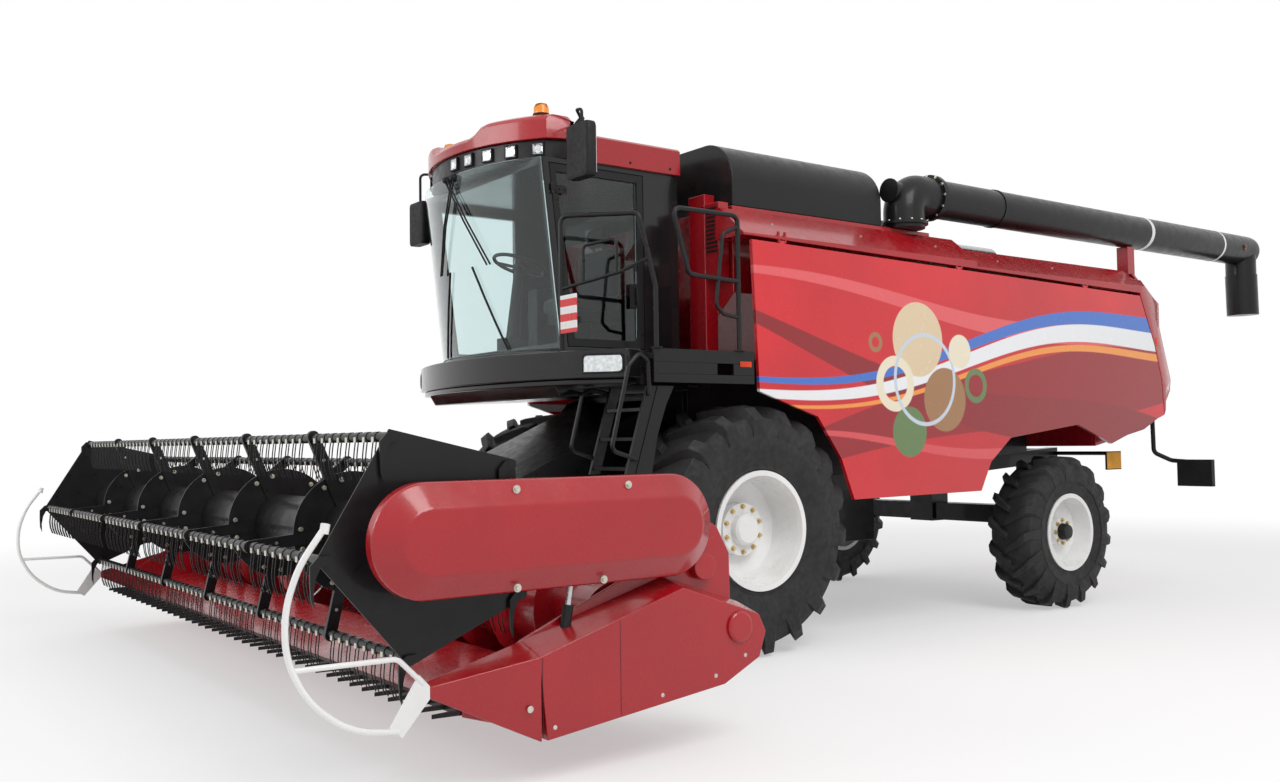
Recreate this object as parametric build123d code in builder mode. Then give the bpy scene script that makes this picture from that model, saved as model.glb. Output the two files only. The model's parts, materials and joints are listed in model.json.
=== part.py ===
"""Combine harvester with its grain header, in millimetres.

+X is the machine's left, -Y is forward and +Z is up. The origin is on the ground, in the middle of the
overall length. Heights and lengths below are measured from the ground and from the front axle (at()).
"""

import os
from collections import namedtuple
from math import atan2, cos, degrees, hypot, pi, radians, sin

from build123d import *

os.makedirs("parts", exist_ok=True)

# ---- Driving dimensions -------------------------------------------------------------------------
DIVIDER_REACH = 4090  # front axle to the foremost point of the crop dividers
UNLOADER_REACH = 7800  # front axle to the rearmost point of the unloading auger
FRONT_AXLE_Y = (DIVIDER_REACH - UNLOADER_REACH) / 2
WHEELBASE = 3710
RUN_GAP = 0.3  # clearance of a piece that turns or lies in another
SKIN = 30  # folded sheet panel with its flanges
PLATE = 12

# Wheels: tyre outside radius and width, rim, lugs, and the place of the wheel's middle
Wheel = namedtuple("Wheel", "radius width rim_radius lugs lug_height lug_width x y hub_radius")
FRONT_WHEEL = Wheel(905, 730, 430, 18, 48, 62, 1245, 0, 190)
REAR_WHEEL = Wheel(685, 460, 345, 17, 36, 46, 1395, WHEELBASE, 120)
TYRE_SIDES = 36
LUG_SINK = 30

# Body
BODY_HALF = 750  # threshing body
BODY_REAR = 4299.7
PANEL_X = 1600  # outer face of the side panels
PANEL_HINGE = ((-70, 3003), (4970, 2908))  # (y, z) of the two ends of the panels' hinge line
PANEL_HINGE_X = 1588
PANEL_DROP = 12  # hinge line to the panel's top edge
HINGE_PIN_RADIUS = 7
KNUCKLE_RADIUS = 12
TANK_HALF = 1290
TANK_REAR = 2250
HOOD_HALF = 1500
HOOD_FRONT = 4300

# Cab
CAB_HALF = 900
CAB_FLOOR = 2200
CAB_FRONT = -1240  # at the floor
CAB_REAR = -190
CAB_WALL = 50
ROOF_BASE = 3580
WINDSCREEN_BULGE = 230
CAB_LEAN = 0.114  # how far the front leans forward, for each millimetre up
DOOR_FRONT = -1185  # at the floor
DOOR_REAR = -520
DOOR_BOTTOM = 2235
DOOR_TOP = 3520
DOOR_GAP = 6
DOOR_THICK = 40
PLATFORM_TOP = 2150
PLATFORM_X = 1590
PLATFORM_FRONT = -960
PLATFORM_REAR = -60

# Feeder and header
FEEDER_PIVOT = (-170, 1800)  # (y, z)
FEEDER_HALF = 600
TRUNNION_RADIUS = 45
HEADER_HALF = 3060  # inside of the end sheets
AUGER_AXIS = (-2330, 665)
AUGER_RADIUS = 310
AUGER_TUBE_RADIUS = 200
AUGER_PITCH = 460
TROUGH_GAP = 25
KNIFE_Y = -3170
KNIFE_Z = 345
GUARD_REACH = 170
GUARD_PITCH = 152.4
HEADER_REAR = -1840  # rear face of the header's beams
HEADER_TOP = 1180

# Reel
REEL_AXIS = (-3300, 1115)
REEL_RADIUS = 520  # circle of the tine bars
REEL_BARS = 5
REEL_PHASE = 22.9  # degrees from straight up, towards the front
REEL_HALF = 2950
REEL_TUBE_RADIUS = 160
REEL_DISC_RADIUS = 310
REEL_DISCS_X = (-2000, -980, 40, 1060, 2080)
BAR_RADIUS = 21
TINE_DROP = 205
TINE_PITCH = 200
REEL_ARM_X = (3081, 3131)
REEL_PIVOT = (-1890, 1130)
REEL_SHAFT_RADIUS = 40
REEL_PIVOT_RADIUS = 25

# Hydraulic cylinders: (y, z) of the barrel's pin at the foot and of the pin in the rod's eye
LIFT_X = 400
LIFT_FOOT = (-250, 640)
LIFT_EYE = (-1390, 440)
REEL_CYLINDER_X = 3112
REEL_FOOT = (-2720, 400)
REEL_EYE = (-2620, 985)
FOOT_PIN_RADIUS = 16
EYE_PIN_RADIUS = 12
EYE_PLAY = 16  # the rod's eye is this much wider than its pin, which it may drift from
BARREL_SHARE = 0.66  # how far up the closed length the barrel reaches, and so on
PISTON_SHARE = 0.28
BORE_SHARE = 0.16

# Unloading auger
UNLOADER_AXIS = (1290, 1930)  # (x, y) of its upright swing axis
UNLOADER_Z = 3600
UNLOADER_RADIUS = 165

# Steering
KINGPIN_X = 960
KINGPIN_RADIUS = 35
STEER_ARM = 260  # from the kingpin back to the tie rod's pin
TIE_PIN_RADIUS = 16
# ---- End of driving dimensions ------------------------------------------------------------------


def at(x, y, z):
    """A point, with y measured from the front axle."""
    return Vector(x, FRONT_AXLE_Y + y, z)


def side_plane(x=0):
    """Plane seen from the machine's left: its own X is rearwards, its own Y is up, its normal +X."""
    return Plane(origin=at(x, 0, 0), x_dir=(0, 1, 0), z_dir=(1, 0, 0))


def cross_plane(y):
    """Plane seen from the front: its own X is the machine's left, its own Y is up, its normal -Y."""
    return Plane(origin=at(0, y, 0), x_dir=(1, 0, 0), z_dir=(0, -1, 0))


def level_plane(z):
    """Level plane: its own X and Y are the machine's, its normal +Z."""
    return Plane(origin=at(0, 0, z))


def side_prism(points, x_low, x_high, mode=Mode.ADD):
    """The outline of (y, z) points as a prism between two x."""
    with BuildSketch(side_plane(x_low)) as outline:
        Polygon(*points, align=None)
    extrude(outline.sketch, amount=x_high - x_low, mode=mode)


def cross_prism(points, y_low, y_high, mode=Mode.ADD):
    """The outline of (x, z) points as a prism between two y."""
    with BuildSketch(cross_plane(y_high)) as outline:
        Polygon(*points, align=None)
    extrude(outline.sketch, amount=y_high - y_low, mode=mode)


def level_prism(points, z_low, z_high, mode=Mode.ADD):
    """The outline of (x, y) points as a prism between two z."""
    with BuildSketch(level_plane(z_low)) as outline:
        Polygon(*points, align=None)
    extrude(outline.sketch, amount=z_high - z_low, mode=mode)


def block(x_span, y_span, z_span, mode=Mode.ADD):
    """A box between the low and high of each span."""
    spans = (x_span, y_span, z_span)
    with Locations(at(*[(low + high) / 2 for low, high in spans])):
        Box(*[high - low for low, high in spans], mode=mode)


def rod(start, end, radius, mode=Mode.ADD):
    """A round rod between two points given as at() takes them."""
    first, last = at(*start), at(*end)
    with BuildSketch(Plane(origin=first, z_dir=last - first)) as section:
        Circle(radius)
    extrude(section.sketch, amount=(last - first).length, mode=mode)


def bent_tube(points, bend, radius):
    """A round tube along points, with its corners bent to one radius."""
    with BuildLine() as path:
        FilletPolyline(*[at(*point) for point in points], radius=bend)
    with BuildSketch(Plane(origin=path.line @ 0, z_dir=path.line % 0)) as section:
        Circle(radius)
    sweep(section.sketch, path=path.line)


def along(start, end, share):
    """The (y, z) point that lies a share of the way from start to end."""
    return (start[0] + (end[0] - start[0]) * share, start[1] + (end[1] - start[1]) * share)


def side_span(side, near, far):
    """The low and high x of what lies from near to far on one side of the middle."""
    return tuple(sorted((side * near, side * far)))


def write(piece, name):
    """Names a finished piece and writes it as its own file."""
    piece.part.label = name
    export_step(piece.part, f"parts/{name}.step")


# ---- Wheels -------------------------------------------------------------------------------------
def hub_point(wheel, side):
    return at(side * wheel.x, wheel.y, wheel.radius)


def make_tyre(wheel, side, name):
    """Carcass with flats, and a chevron of lugs on each half of the tread."""
    hub = hub_point(wheel, side)
    carcass = wheel.radius - wheel.lug_height
    tread = wheel.width * 0.74
    shoulder = (wheel.width - tread) / 2
    pitch = 360 / wheel.lugs
    lug_start, lug_end = wheel.width * -0.03, wheel.width * 0.485  # across the tread
    along_tread = wheel.width * 0.17  # half of a lug's length along the tread
    lug_top = (wheel.radius**2 - along_tread**2) ** 0.5  # its corners then reach the wheel's radius
    with BuildPart() as tyre:
        with BuildSketch(Plane(origin=hub - (tread / 2, 0, 0), x_dir=(0, 1, 0), z_dir=(1, 0, 0))):
            RegularPolygon(carcass, TYRE_SIDES)
        extrude(amount=tread)
        for end in (-1, 1):
            edge = hub + (end * tread / 2, 0, 0)
            with BuildSketch(Plane(origin=edge, x_dir=(0, 1, 0), z_dir=(end, 0, 0))):
                RegularPolygon(carcass, TYRE_SIDES)
            extrude(amount=shoulder, taper=42)
        for half in (-1, 1):
            planes = []
            for count in range(wheel.lugs):
                turn = radians(pitch * (count + (0.5 if half > 0 else 0)))
                radial = Vector(0, sin(turn), cos(turn))
                base = hub + radial * (carcass - LUG_SINK)
                planes.append(Plane(origin=base, x_dir=(half, 0, 0), z_dir=radial))
            with BuildSketch(*planes):
                Polygon(
                    (lug_start, -along_tread * half),
                    (lug_end, (along_tread - wheel.lug_width * 1.25) * half),
                    (lug_end, along_tread * half),
                    (lug_start, (wheel.lug_width - along_tread) * half),
                    align=None,
                )
            extrude(amount=lug_top - carcass + LUG_SINK)
        with BuildSketch(Plane(origin=hub - (wheel.width, 0, 0), x_dir=(0, 1, 0), z_dir=(1, 0, 0))):
            Circle(wheel.rim_radius + RUN_GAP)
        extrude(amount=2 * wheel.width, mode=Mode.SUBTRACT)
    write(tyre, name)


def make_rim(wheel, side, name):
    """Drop-centre rim with a dished disc and a hub that fits over the axle's spindle."""
    hub = hub_point(wheel, side)
    half = wheel.width * 0.46
    wall = 16
    disc = 60  # the disc's outer face, outboard of the wheel's middle
    profile = [
        (-half, wheel.rim_radius - 38),
        (-half, wheel.rim_radius),
        (half, wheel.rim_radius),
        (half, wheel.rim_radius - 38),
        (half - 40, wheel.rim_radius - 50),
        (disc, wheel.rim_radius - 75),
        (disc - 30, wheel.hub_radius),
        (disc + 60, wheel.hub_radius),
        (disc + 60, 60 + RUN_GAP),
        (disc - 130, 60 + RUN_GAP),
        (disc - 130, wheel.hub_radius - 20),
        (disc - 30 - wall, wheel.hub_radius - 20),
        (disc - wall, wheel.rim_radius - 75),
        (disc - 120, wheel.rim_radius - 75),
    ]
    with BuildPart() as rim:
        with BuildSketch(Plane(origin=hub, x_dir=(side, 0, 0), z_dir=(0, -side, 0))):
            Polygon(*profile, align=None)
        revolve(axis=Axis(hub, (1, 0, 0)))
    write(rim, name)


for side, word in ((1, "left"), (-1, "right")):
    make_tyre(FRONT_WHEEL, side, f"front_tyre_{word}")
    make_rim(FRONT_WHEEL, side, f"front_rim_{word}")
    make_tyre(REAR_WHEEL, side, f"rear_tyre_{word}")
    make_rim(REAR_WHEEL, side, f"rear_rim_{word}")

# ---- Front axle: beam, gearbox, final drives and spindles ----------------------------------------
AXLE_Z = FRONT_WHEEL.radius
FLANGE_X = FRONT_WHEEL.x + 60 - 130  # inner face of the front wheel's hub
with BuildPart() as front_axle:
    block((-FLANGE_X + 25, FLANGE_X - 25), (-110, 110), (AXLE_Z - 110, AXLE_Z + 110))
    block((-230, 230), (-190, 190), (AXLE_Z - 230, AXLE_Z + 140))
    for side in (-1, 1):
        inner, outer = side * (FLANGE_X - 210), side * (FLANGE_X - 25)
        rod((inner, 0, AXLE_Z), (outer, 0, AXLE_Z), 215)
        rod((outer, 0, AXLE_Z), (side * (FLANGE_X + 185), 0, AXLE_Z), 60)
        low, high = sorted((side * 500, side * 620))
        block((low, high), (-130, 130), (AXLE_Z, 1100))
        for ear in (-76, 56):
            x = side * LIFT_X + ear
            side_prism(
                [(-105, AXLE_Z + 60), (-105, AXLE_Z - 110), (LIFT_FOOT[0] + 20, LIFT_FOOT[1] - 35),
                 (LIFT_FOOT[0] - 35, LIFT_FOOT[1]), (LIFT_FOOT[0] - 10, LIFT_FOOT[1] + 40)],
                x,
                x + 20,
            )
        rod((side * LIFT_X - 66, *LIFT_FOOT), (side * LIFT_X + 66, *LIFT_FOOT), FOOT_PIN_RADIUS)
write(front_axle, "front_axle")

# ---- Main frame: two rails, cross members and the drawbar ----------------------------------------
RAIL_X = 560
with BuildPart() as main_frame:
    for side in (-1, 1):
        low, high = sorted((side * (RAIL_X - 60), side * (RAIL_X + 60)))
        side_prism(
            [(-150, 1100), (2700, 1100), (3150, 1180), (5000, 1290), (5000, 1430),
             (3100, 1330), (2650, 1235), (-150, 1235)],
            low,
            high,
        )
    for y_middle in (150, 2500):
        block((-RAIL_X, RAIL_X), (y_middle - 60, y_middle + 60), (1110, 1230))
    block((-RAIL_X, RAIL_X), (4820, 4980), (1300, 1420))
    block((-90, 90), (4900, 5300), (1300, 1340))
    block((-90, 90), (WHEELBASE - 150, WHEELBASE + 150), (1100, 1240))
    block((-RAIL_X, RAIL_X), (WHEELBASE - 70, WHEELBASE + 70), (1215, 1325))
    with Locations(at(0, 5240, 1340)):
        Hole(16, depth=40)
write(main_frame, "main_frame")

# ---- Rear axle beam with its kingpins -------------------------------------------------------------
REAR_Z = REAR_WHEEL.radius
with BuildPart() as rear_axle:
    side_prism(
        [(WHEELBASE - 90, REAR_Z + 60), (WHEELBASE + 90, REAR_Z + 60),
         (WHEELBASE + 90, REAR_Z + 220), (WHEELBASE - 90, REAR_Z + 220)],
        -KINGPIN_X + 90,
        KINGPIN_X - 90,
    )
    block((-140, 140), (WHEELBASE - 120, WHEELBASE + 120), (REAR_Z + 40, 1099.7))
    for side in (-1, 1):
        x_low, x_high = sorted((side * (KINGPIN_X - 100), side * (KINGPIN_X + 60)))
        block((x_low, x_high), (WHEELBASE - 60, WHEELBASE + 60), (REAR_Z + 100, REAR_Z + 180))
        rod(
            (side * KINGPIN_X, WHEELBASE, REAR_Z - 150),
            (side * KINGPIN_X, WHEELBASE, REAR_Z + 220),
            KINGPIN_RADIUS,
        )
write(rear_axle, "rear_axle")

# ---- Steered knuckles and the tie rod --------------------------------------------------------------
TIE_Z = REAR_Z - 10


def make_knuckle(side, name):
    """Fork sleeve on the kingpin, spindle for the wheel and an arm back to the tie rod."""
    x = side * KINGPIN_X
    hub_inner = side * (REAR_WHEEL.x + 60 - 130)
    with BuildPart() as knuckle:
        rod((x, WHEELBASE, REAR_Z - 130), (x, WHEELBASE, REAR_Z + 90), 75)
        rod((x, WHEELBASE, REAR_Z), (hub_inner - side * 3, WHEELBASE, REAR_Z), 70)
        rod((x, WHEELBASE, REAR_Z), (hub_inner + side * 185, WHEELBASE, REAR_Z), 60)
        block((x - 35, x + 35), (WHEELBASE + 60, WHEELBASE + STEER_ARM), (TIE_Z - 20, TIE_Z + 20))
        rod((x, WHEELBASE + STEER_ARM, TIE_Z - 20), (x, WHEELBASE + STEER_ARM, TIE_Z + 20), 40)
        rod((x, WHEELBASE + STEER_ARM, TIE_Z), (x, WHEELBASE + STEER_ARM, TIE_Z + 80), TIE_PIN_RADIUS)
        rod(
            (x, WHEELBASE, REAR_Z - 200),
            (x, WHEELBASE, REAR_Z + 300),
            KINGPIN_RADIUS + RUN_GAP,
            mode=Mode.SUBTRACT,
        )
    write(knuckle, name)


for side, word in ((1, "left"), (-1, "right")):
    make_knuckle(side, f"knuckle_{word}")

with BuildPart() as tie_rod:
    tie_y, tie_z = WHEELBASE + STEER_ARM, TIE_Z + 50
    rod((-KINGPIN_X + 20, tie_y, tie_z), (KINGPIN_X - 20, tie_y, tie_z), 18)
    for side in (-1, 1):
        x = side * KINGPIN_X
        rod((x, tie_y, tie_z - 25), (x, tie_y, tie_z + 25), 32)
        rod((x, tie_y, tie_z - 60), (x, tie_y, tie_z + 60), TIE_PIN_RADIUS + RUN_GAP, mode=Mode.SUBTRACT)
write(tie_rod, "tie_rod")

# ---- Threshing body, grain tank, covers and engine -------------------------------------------------
with BuildPart() as threshing_body:
    side_prism(
        [(270, 1300), (270, 800), (700, 640), (2350, 640), (2350, 1300)],
        -RAIL_X + 60.3,
        RAIL_X - 60.3,
    )
    side_prism(
        [(0, 1235.3), (2650, 1235.3), (3100, 1330.3), (BODY_REAR, 1400), (BODY_REAR, 2900), (2300, 2900), (2300, 2195),
         (0, 2195)],
        -BODY_HALF,
        BODY_HALF,
    )
    for side in (-1, 1):
        low, high = sorted((side * 640, side * 690))
        side_prism(
            [(0, 1650), (0, 1950), (-170, 1890), (-250, 1800), (-170, 1710)],
            low,
            high,
        )
        with BuildSketch(side_plane(side * 665)):
            with Locations(FEEDER_PIVOT):
                Circle(TRUNNION_RADIUS + RUN_GAP)
        extrude(amount=60, both=True, mode=Mode.SUBTRACT)
write(threshing_body, "threshing_body")

with BuildPart() as grain_tank:
    cross_prism(
        [(-BODY_HALF, 2195.5), (BODY_HALF, 2195.5), (1290, 2650), (1290, 3300), (-1290, 3300), (-1290, 2650)],
        20,
        TANK_REAR,
    )
    block((CAB_HALF + 20, 1110), (-100, 20), (PLATFORM_TOP + RUN_GAP, 3300))
    block((-1110, -CAB_HALF - 20), (-100, 20), (PLATFORM_TOP + RUN_GAP, 3300))
write(grain_tank, "grain_tank")

COVER_FRONT = 25
COVER_REAR = 1650
with BuildPart() as tank_cover:
    with BuildSketch(cross_plane(COVER_REAR)):
        with BuildLine():
            Polyline((-TANK_HALF, 3480), (-TANK_HALF, 3300.3), (TANK_HALF, 3300.3), (TANK_HALF, 3480))
            ThreePointArc((TANK_HALF, 3480), (TANK_HALF - 90, 3715), (TANK_HALF - 330, 3810))
            Line((TANK_HALF - 330, 3810), (-TANK_HALF + 330, 3810))
            ThreePointArc((-TANK_HALF + 330, 3810), (-TANK_HALF + 90, 3715), (-TANK_HALF, 3480))
        make_face()
    extrude(amount=COVER_REAR - COVER_FRONT)
write(tank_cover, "tank_cover")

with BuildPart() as engine_deck:
    block((-1250, 1250), (TANK_REAR + RUN_GAP, BODY_REAR), (2900.3, 2935))
    block((-1240, -760), (2450, 3650), (2935, 3430))
    with BuildSketch(side_plane(-1240)):
        with Locations((3050, 3180)):
            Circle(225)
    extrude(amount=-45)
write(engine_deck, "engine_deck")

with BuildPart() as engine:
    block((-420, 380), (2700, 3900), (2935.3, 3250))
    block((-260, 220), (2760, 3840), (3250, 3400))
    rod((480, 2600, 2935.3), (480, 2600, 3560), 75)
    rod((-560, 3700, 3100), (-560, 3950, 3100), 120)
    block((-500, -410), (3740, 3820), (3040, 3160))
write(engine, "engine")

HOOD_OUTLINE = [(HOOD_FRONT, 1450), (HOOD_FRONT, 3190), (5080, 3140), (5480, 2860), (5480, 2620),
                (5660, 2100), (5640, 1990), (5450, 1730), (5140, 1600)]
HOOD_INSIDE = [(HOOD_FRONT + PLATE, 1400), (HOOD_FRONT + PLATE, 3150), (5065, 3105), (5445, 2840), (5445, 2610),
               (5625, 2095), (5605, 2000), (5425, 1760), (5140, 1640), (5000, 1400)]
with BuildPart() as rear_hood:
    side_prism(HOOD_OUTLINE, -HOOD_HALF, HOOD_HALF)
    side_prism(HOOD_INSIDE, -HOOD_HALF + SKIN, HOOD_HALF - SKIN, mode=Mode.SUBTRACT)
    block((-BODY_HALF + 60, BODY_HALF - 60), (HOOD_FRONT - 20, HOOD_FRONT + 40), (1400, 2700), mode=Mode.SUBTRACT)
    block((UNLOADER_AXIS[0] - 60, UNLOADER_AXIS[0] + 60), (5200, 5320), (2990, UNLOADER_Z - UNLOADER_RADIUS - RUN_GAP))
write(rear_hood, "rear_hood")

PANEL_HINGES = (0.06, 0.46, 0.82)  # places of the hinges along the panels' hinge line


with BuildPart() as shoulder_rails:
    inner = TANK_HALF + RUN_GAP
    cross_prism([(inner, 3250), (1340, 3255), (PANEL_X, 3036), (PANEL_X, 3020), (inner, 3020)], -150, 2480)
    cross_prism([(inner, 3170), (1390, 3170), (PANEL_X, 2992), (PANEL_X, 2975), (inner, 2975)], 2480, HOOD_FRONT)
    for share in PANEL_HINGES:
        y, z = along(*PANEL_HINGE, share)
        for near, far in ((y - 40, y - 25), (y + 25, y + 40)):
            block((PANEL_HINGE_X - 8, PANEL_HINGE_X + 8), (near, far), (z, z + 75))
            rod((PANEL_HINGE_X, near, z), (PANEL_HINGE_X, far, z), 10)
        rod(
            (PANEL_HINGE_X, *along(*PANEL_HINGE, share - 0.007)),
            (PANEL_HINGE_X, *along(*PANEL_HINGE, share + 0.007)),
            HINGE_PIN_RADIUS,
        )
    mirror(about=Plane.YZ)
write(shoulder_rails, "shoulder_rails")


def make_side_panel(side, name):
    """One big sheet door over the drives, hinged along its top edge."""
    low, high = sorted((side * (PANEL_X - SKIN), side * PANEL_X))
    with BuildPart() as panel:
        side_prism(
            [(-70, PANEL_HINGE[0][1] - PANEL_DROP), (4970, PANEL_HINGE[1][1] - PANEL_DROP), (5200, 2430), (5310, 2090), (5340, 1740), (4410, 1470), (3880, 1650),
             (2880, 1540), (2600, 1340), (2460, 1100), (930, 1090), (800, 1400), (560, 1720), (-20, 1900)],
            low,
            high,
        )
        for share in PANEL_HINGES:
            y, z = along(*PANEL_HINGE, share)
            block(side_span(side, PANEL_HINGE_X - 8, PANEL_HINGE_X + 8), (y - 22, y + 22), (z - 40, z + 9))
            rod(
                (side * PANEL_HINGE_X, *along(*PANEL_HINGE, share - 0.02)),
                (side * PANEL_HINGE_X, *along(*PANEL_HINGE, share + 0.02)),
                HINGE_PIN_RADIUS + RUN_GAP,
                mode=Mode.SUBTRACT,
            )
    write(panel, name)


for side, word in ((1, "left"), (-1, "right")):
    make_side_panel(side, f"side_panel_{word}")

# ---- Cab --------------------------------------------------------------------------------------------
ROOF_UNDER = ROOF_BASE - 20


def leaned(y, z):
    """The y at height z of an upright that stands at y on the cab's floor and leans with its front."""
    return y - (z - CAB_FLOOR) * CAB_LEAN


CAB_OUTLINE = [(CAB_FRONT, CAB_FLOOR), (CAB_REAR, CAB_FLOOR), (CAB_REAR, ROOF_UNDER),
               (leaned(CAB_FRONT, ROOF_UNDER), ROOF_UNDER)]
CAB_INSIDE = [(CAB_FRONT - 300, CAB_FLOOR + 60), (CAB_REAR - CAB_WALL, CAB_FLOOR + 60),
              (CAB_REAR - CAB_WALL, ROOF_UNDER - 50), (CAB_FRONT - 300, ROOF_UNDER - 50)]
DOOR_OUTLINE = [(leaned(DOOR_FRONT, DOOR_BOTTOM), DOOR_BOTTOM), (DOOR_REAR, DOOR_BOTTOM),
                (DOOR_REAR, DOOR_TOP), (leaned(DOOR_FRONT, DOOR_TOP), DOOR_TOP)]
DOOR_HINGE_X = CAB_HALF + 14
DOOR_HINGES_Z = (2420, 3340)


def door_hinge_y(z):
    """The door's hinge line, in the middle of the gap at its front edge."""
    return leaned(DOOR_FRONT, z) - DOOR_GAP / 2


def door_knuckle(low, high, radius, mode=Mode.ADD):
    """A round piece on the door's hinge line, between two heights."""
    first, last = (DOOR_HINGE_X, door_hinge_y(low), low), (DOOR_HINGE_X, door_hinge_y(high), high)
    rod(first, last, radius, mode=mode)


def grown(outline, gap):
    """A four-cornered (y, z) outline, moved out by a gap on each side."""
    (y0, z0), (y1, z1), (y2, z2), (y3, z3) = outline
    return [(y0 - gap, z0 - gap), (y1 + gap, z1 - gap), (y2 + gap, z2 + gap), (y3 - gap, z3 + gap)]


with BuildPart() as cab_shell:
    side_prism(CAB_OUTLINE, -CAB_HALF, CAB_HALF)
    side_prism(CAB_INSIDE, -CAB_HALF + CAB_WALL, CAB_HALF - CAB_WALL, mode=Mode.SUBTRACT)
    side_prism(grown(DOOR_OUTLINE, DOOR_GAP), CAB_HALF - CAB_WALL - 20, CAB_HALF + 20, mode=Mode.SUBTRACT)
    side_prism(grown(DOOR_OUTLINE, -60), -CAB_HALF - 20, -CAB_HALF + CAB_WALL + 20, mode=Mode.SUBTRACT)
    block((-650, 650), (CAB_REAR - 100, CAB_REAR + 20), (2700, 3400), mode=Mode.SUBTRACT)
    block((-CAB_HALF + 60, CAB_HALF - 60), (CAB_REAR - 10, 15), (2195.3, CAB_FLOOR + 60))
    for z in DOOR_HINGES_Z:
        for low, high in ((z - 36, z - 20), (z + 20, z + 36)):
            y = door_hinge_y((low + high) / 2)
            block((CAB_HALF - 1, CAB_HALF + 5), (y - 50, y - 2), (low, high))
            door_knuckle(low, high, KNUCKLE_RADIUS)
        door_knuckle(z - 36, z + 36, HINGE_PIN_RADIUS)
write(cab_shell, "cab_shell")

with BuildPart() as cab_door:
    side_prism(DOOR_OUTLINE, CAB_HALF - DOOR_THICK, CAB_HALF)
    side_prism(grown(DOOR_OUTLINE, -55), CAB_HALF - 200, CAB_HALF + 200, mode=Mode.SUBTRACT)
    for z in DOOR_HINGES_Z:
        y = door_hinge_y(z)
        block((CAB_HALF - 1, CAB_HALF + 5), (y + 4, y + 62), (z - 11, z + 11))
        door_knuckle(z - 15, z + 15, KNUCKLE_RADIUS)
        door_knuckle(z - 40, z + 40, HINGE_PIN_RADIUS + RUN_GAP, mode=Mode.SUBTRACT)
write(cab_door, "cab_door")

with BuildPart() as cab_door_glass:
    side_prism(grown(DOOR_OUTLINE, -55 - RUN_GAP), CAB_HALF - 26, CAB_HALF - 20)
write(cab_door_glass, "cab_door_glass")

with BuildPart() as cab_glass:
    with BuildSketch(level_plane(CAB_FLOOR + 20)):
        with BuildLine():
            half, thick = CAB_HALF - 10, 8
            back = leaned(CAB_FRONT, CAB_FLOOR + 20) - thick - RUN_GAP
            ThreePointArc((-half, back), (0, back - WINDSCREEN_BULGE), (half, back))
            Line((half, back), (half, back + thick))
            ThreePointArc((half, back + thick), (0, back - WINDSCREEN_BULGE + thick), (-half, back + thick))
            Line((-half, back + thick), (-half, back))
        make_face()
    extrude(amount=(ROOF_UNDER - CAB_FLOOR - 20.3) * hypot(1, CAB_LEAN), dir=(0, -CAB_LEAN, 1))
    side_prism(grown(DOOR_OUTLINE, -60 - RUN_GAP), -CAB_HALF + 20, -CAB_HALF + 26)
    block((-650 + RUN_GAP, 650 - RUN_GAP), (CAB_REAR - 30, CAB_REAR - 24), (2700 + RUN_GAP, 3400 - RUN_GAP))
write(cab_glass, "cab_glass")

with BuildPart() as cab_roof:
    with BuildSketch(level_plane(ROOF_BASE - 19.7)):
        with BuildLine():
            Polyline((-930, -180), (930, -180), (930, -1180), (860, -1330))
            ThreePointArc((860, -1330), (0, -1650), (-860, -1330))
            Polyline((-860, -1330), (-930, -1180), (-930, -180))
        make_face()
    extrude(amount=200)
    for side in (-1, 1):
        with BuildSketch(level_plane(ROOF_BASE + 170)):
            with Locations((side * 480, -900)):
                Ellipse(430, 560)
        extrude(amount=150, taper=25)
write(cab_roof, "cab_roof")

with BuildPart() as cab_fascia:
    with BuildSketch(level_plane(1945)):
        with BuildLine():
            Polyline((-1450, -960), (-1450, -1080), (-1200, -1300))
            ThreePointArc((-1200, -1300), (0, -1560), (1200, -1300))
            Polyline((1200, -1300), (1450, -1080), (1450, -960), (-1450, -960))
        make_face()
    extrude(amount=240)
    block((-CAB_HALF, CAB_HALF), (-965, -0.3), (1960, 2100))
    block((-CAB_HALF, CAB_HALF), (-1200, -960), (2180, CAB_FLOOR - RUN_GAP))
write(cab_fascia, "cab_fascia")

with BuildPart() as lamps:
    for side in (-1, 1):
        seat_at = at(side * 1325.2, -1190.2, 2050)
        with BuildSketch(Plane(origin=seat_at, x_dir=(0, 0, 1), z_dir=(side * 0.6607, -0.7507, 0))):
            Rectangle(130, 260)
        extrude(amount=14)
write(lamps, "lamps")

with BuildPart() as beacons:
    for side in (-1, 1):
        rod((side * 480, -1000, ROOF_BASE + 320.3), (side * 480, -1000, ROOF_BASE + 420), 65)
write(beacons, "beacons")

with BuildPart() as seat:
    block((-240, 240), (-700, -250), (2560, 2680))
    block((-240, 240), (-380, -270), (2680, 3280))
    rod((0, -480, 2260.3), (0, -480, 2560), 90)
write(seat, "seat")

with BuildPart() as steering_column:
    block((-70, 70), (-1190, -1050), (CAB_FLOOR + 60.3, 2310))
    rod((0, -1120, 2300), (0, -1052, 2925), 45)
    with BuildSketch(Plane(origin=at(0, -1050, 2910), z_dir=(0, 0.35, 1))):
        Circle(215)
        Circle(190, mode=Mode.SUBTRACT)
        Rectangle(400, 30)
    extrude(amount=24)
write(steering_column, "steering_column")

# ---- Platform, ladder, rails and mirrors --------------------------------------------------------------
with BuildPart() as platform:
    block((CAB_HALF + 20, PLATFORM_X), (PLATFORM_FRONT + RUN_GAP, PLATFORM_REAR), (2110, PLATFORM_TOP))
    block((PLATFORM_X - 20, PLATFORM_X), (PLATFORM_FRONT + RUN_GAP, PLATFORM_REAR), (1920, PLATFORM_TOP))
    block((CAB_HALF + RUN_GAP, CAB_HALF + 60), (-700, -300), (2040, 2120))
write(platform, "platform")

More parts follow.
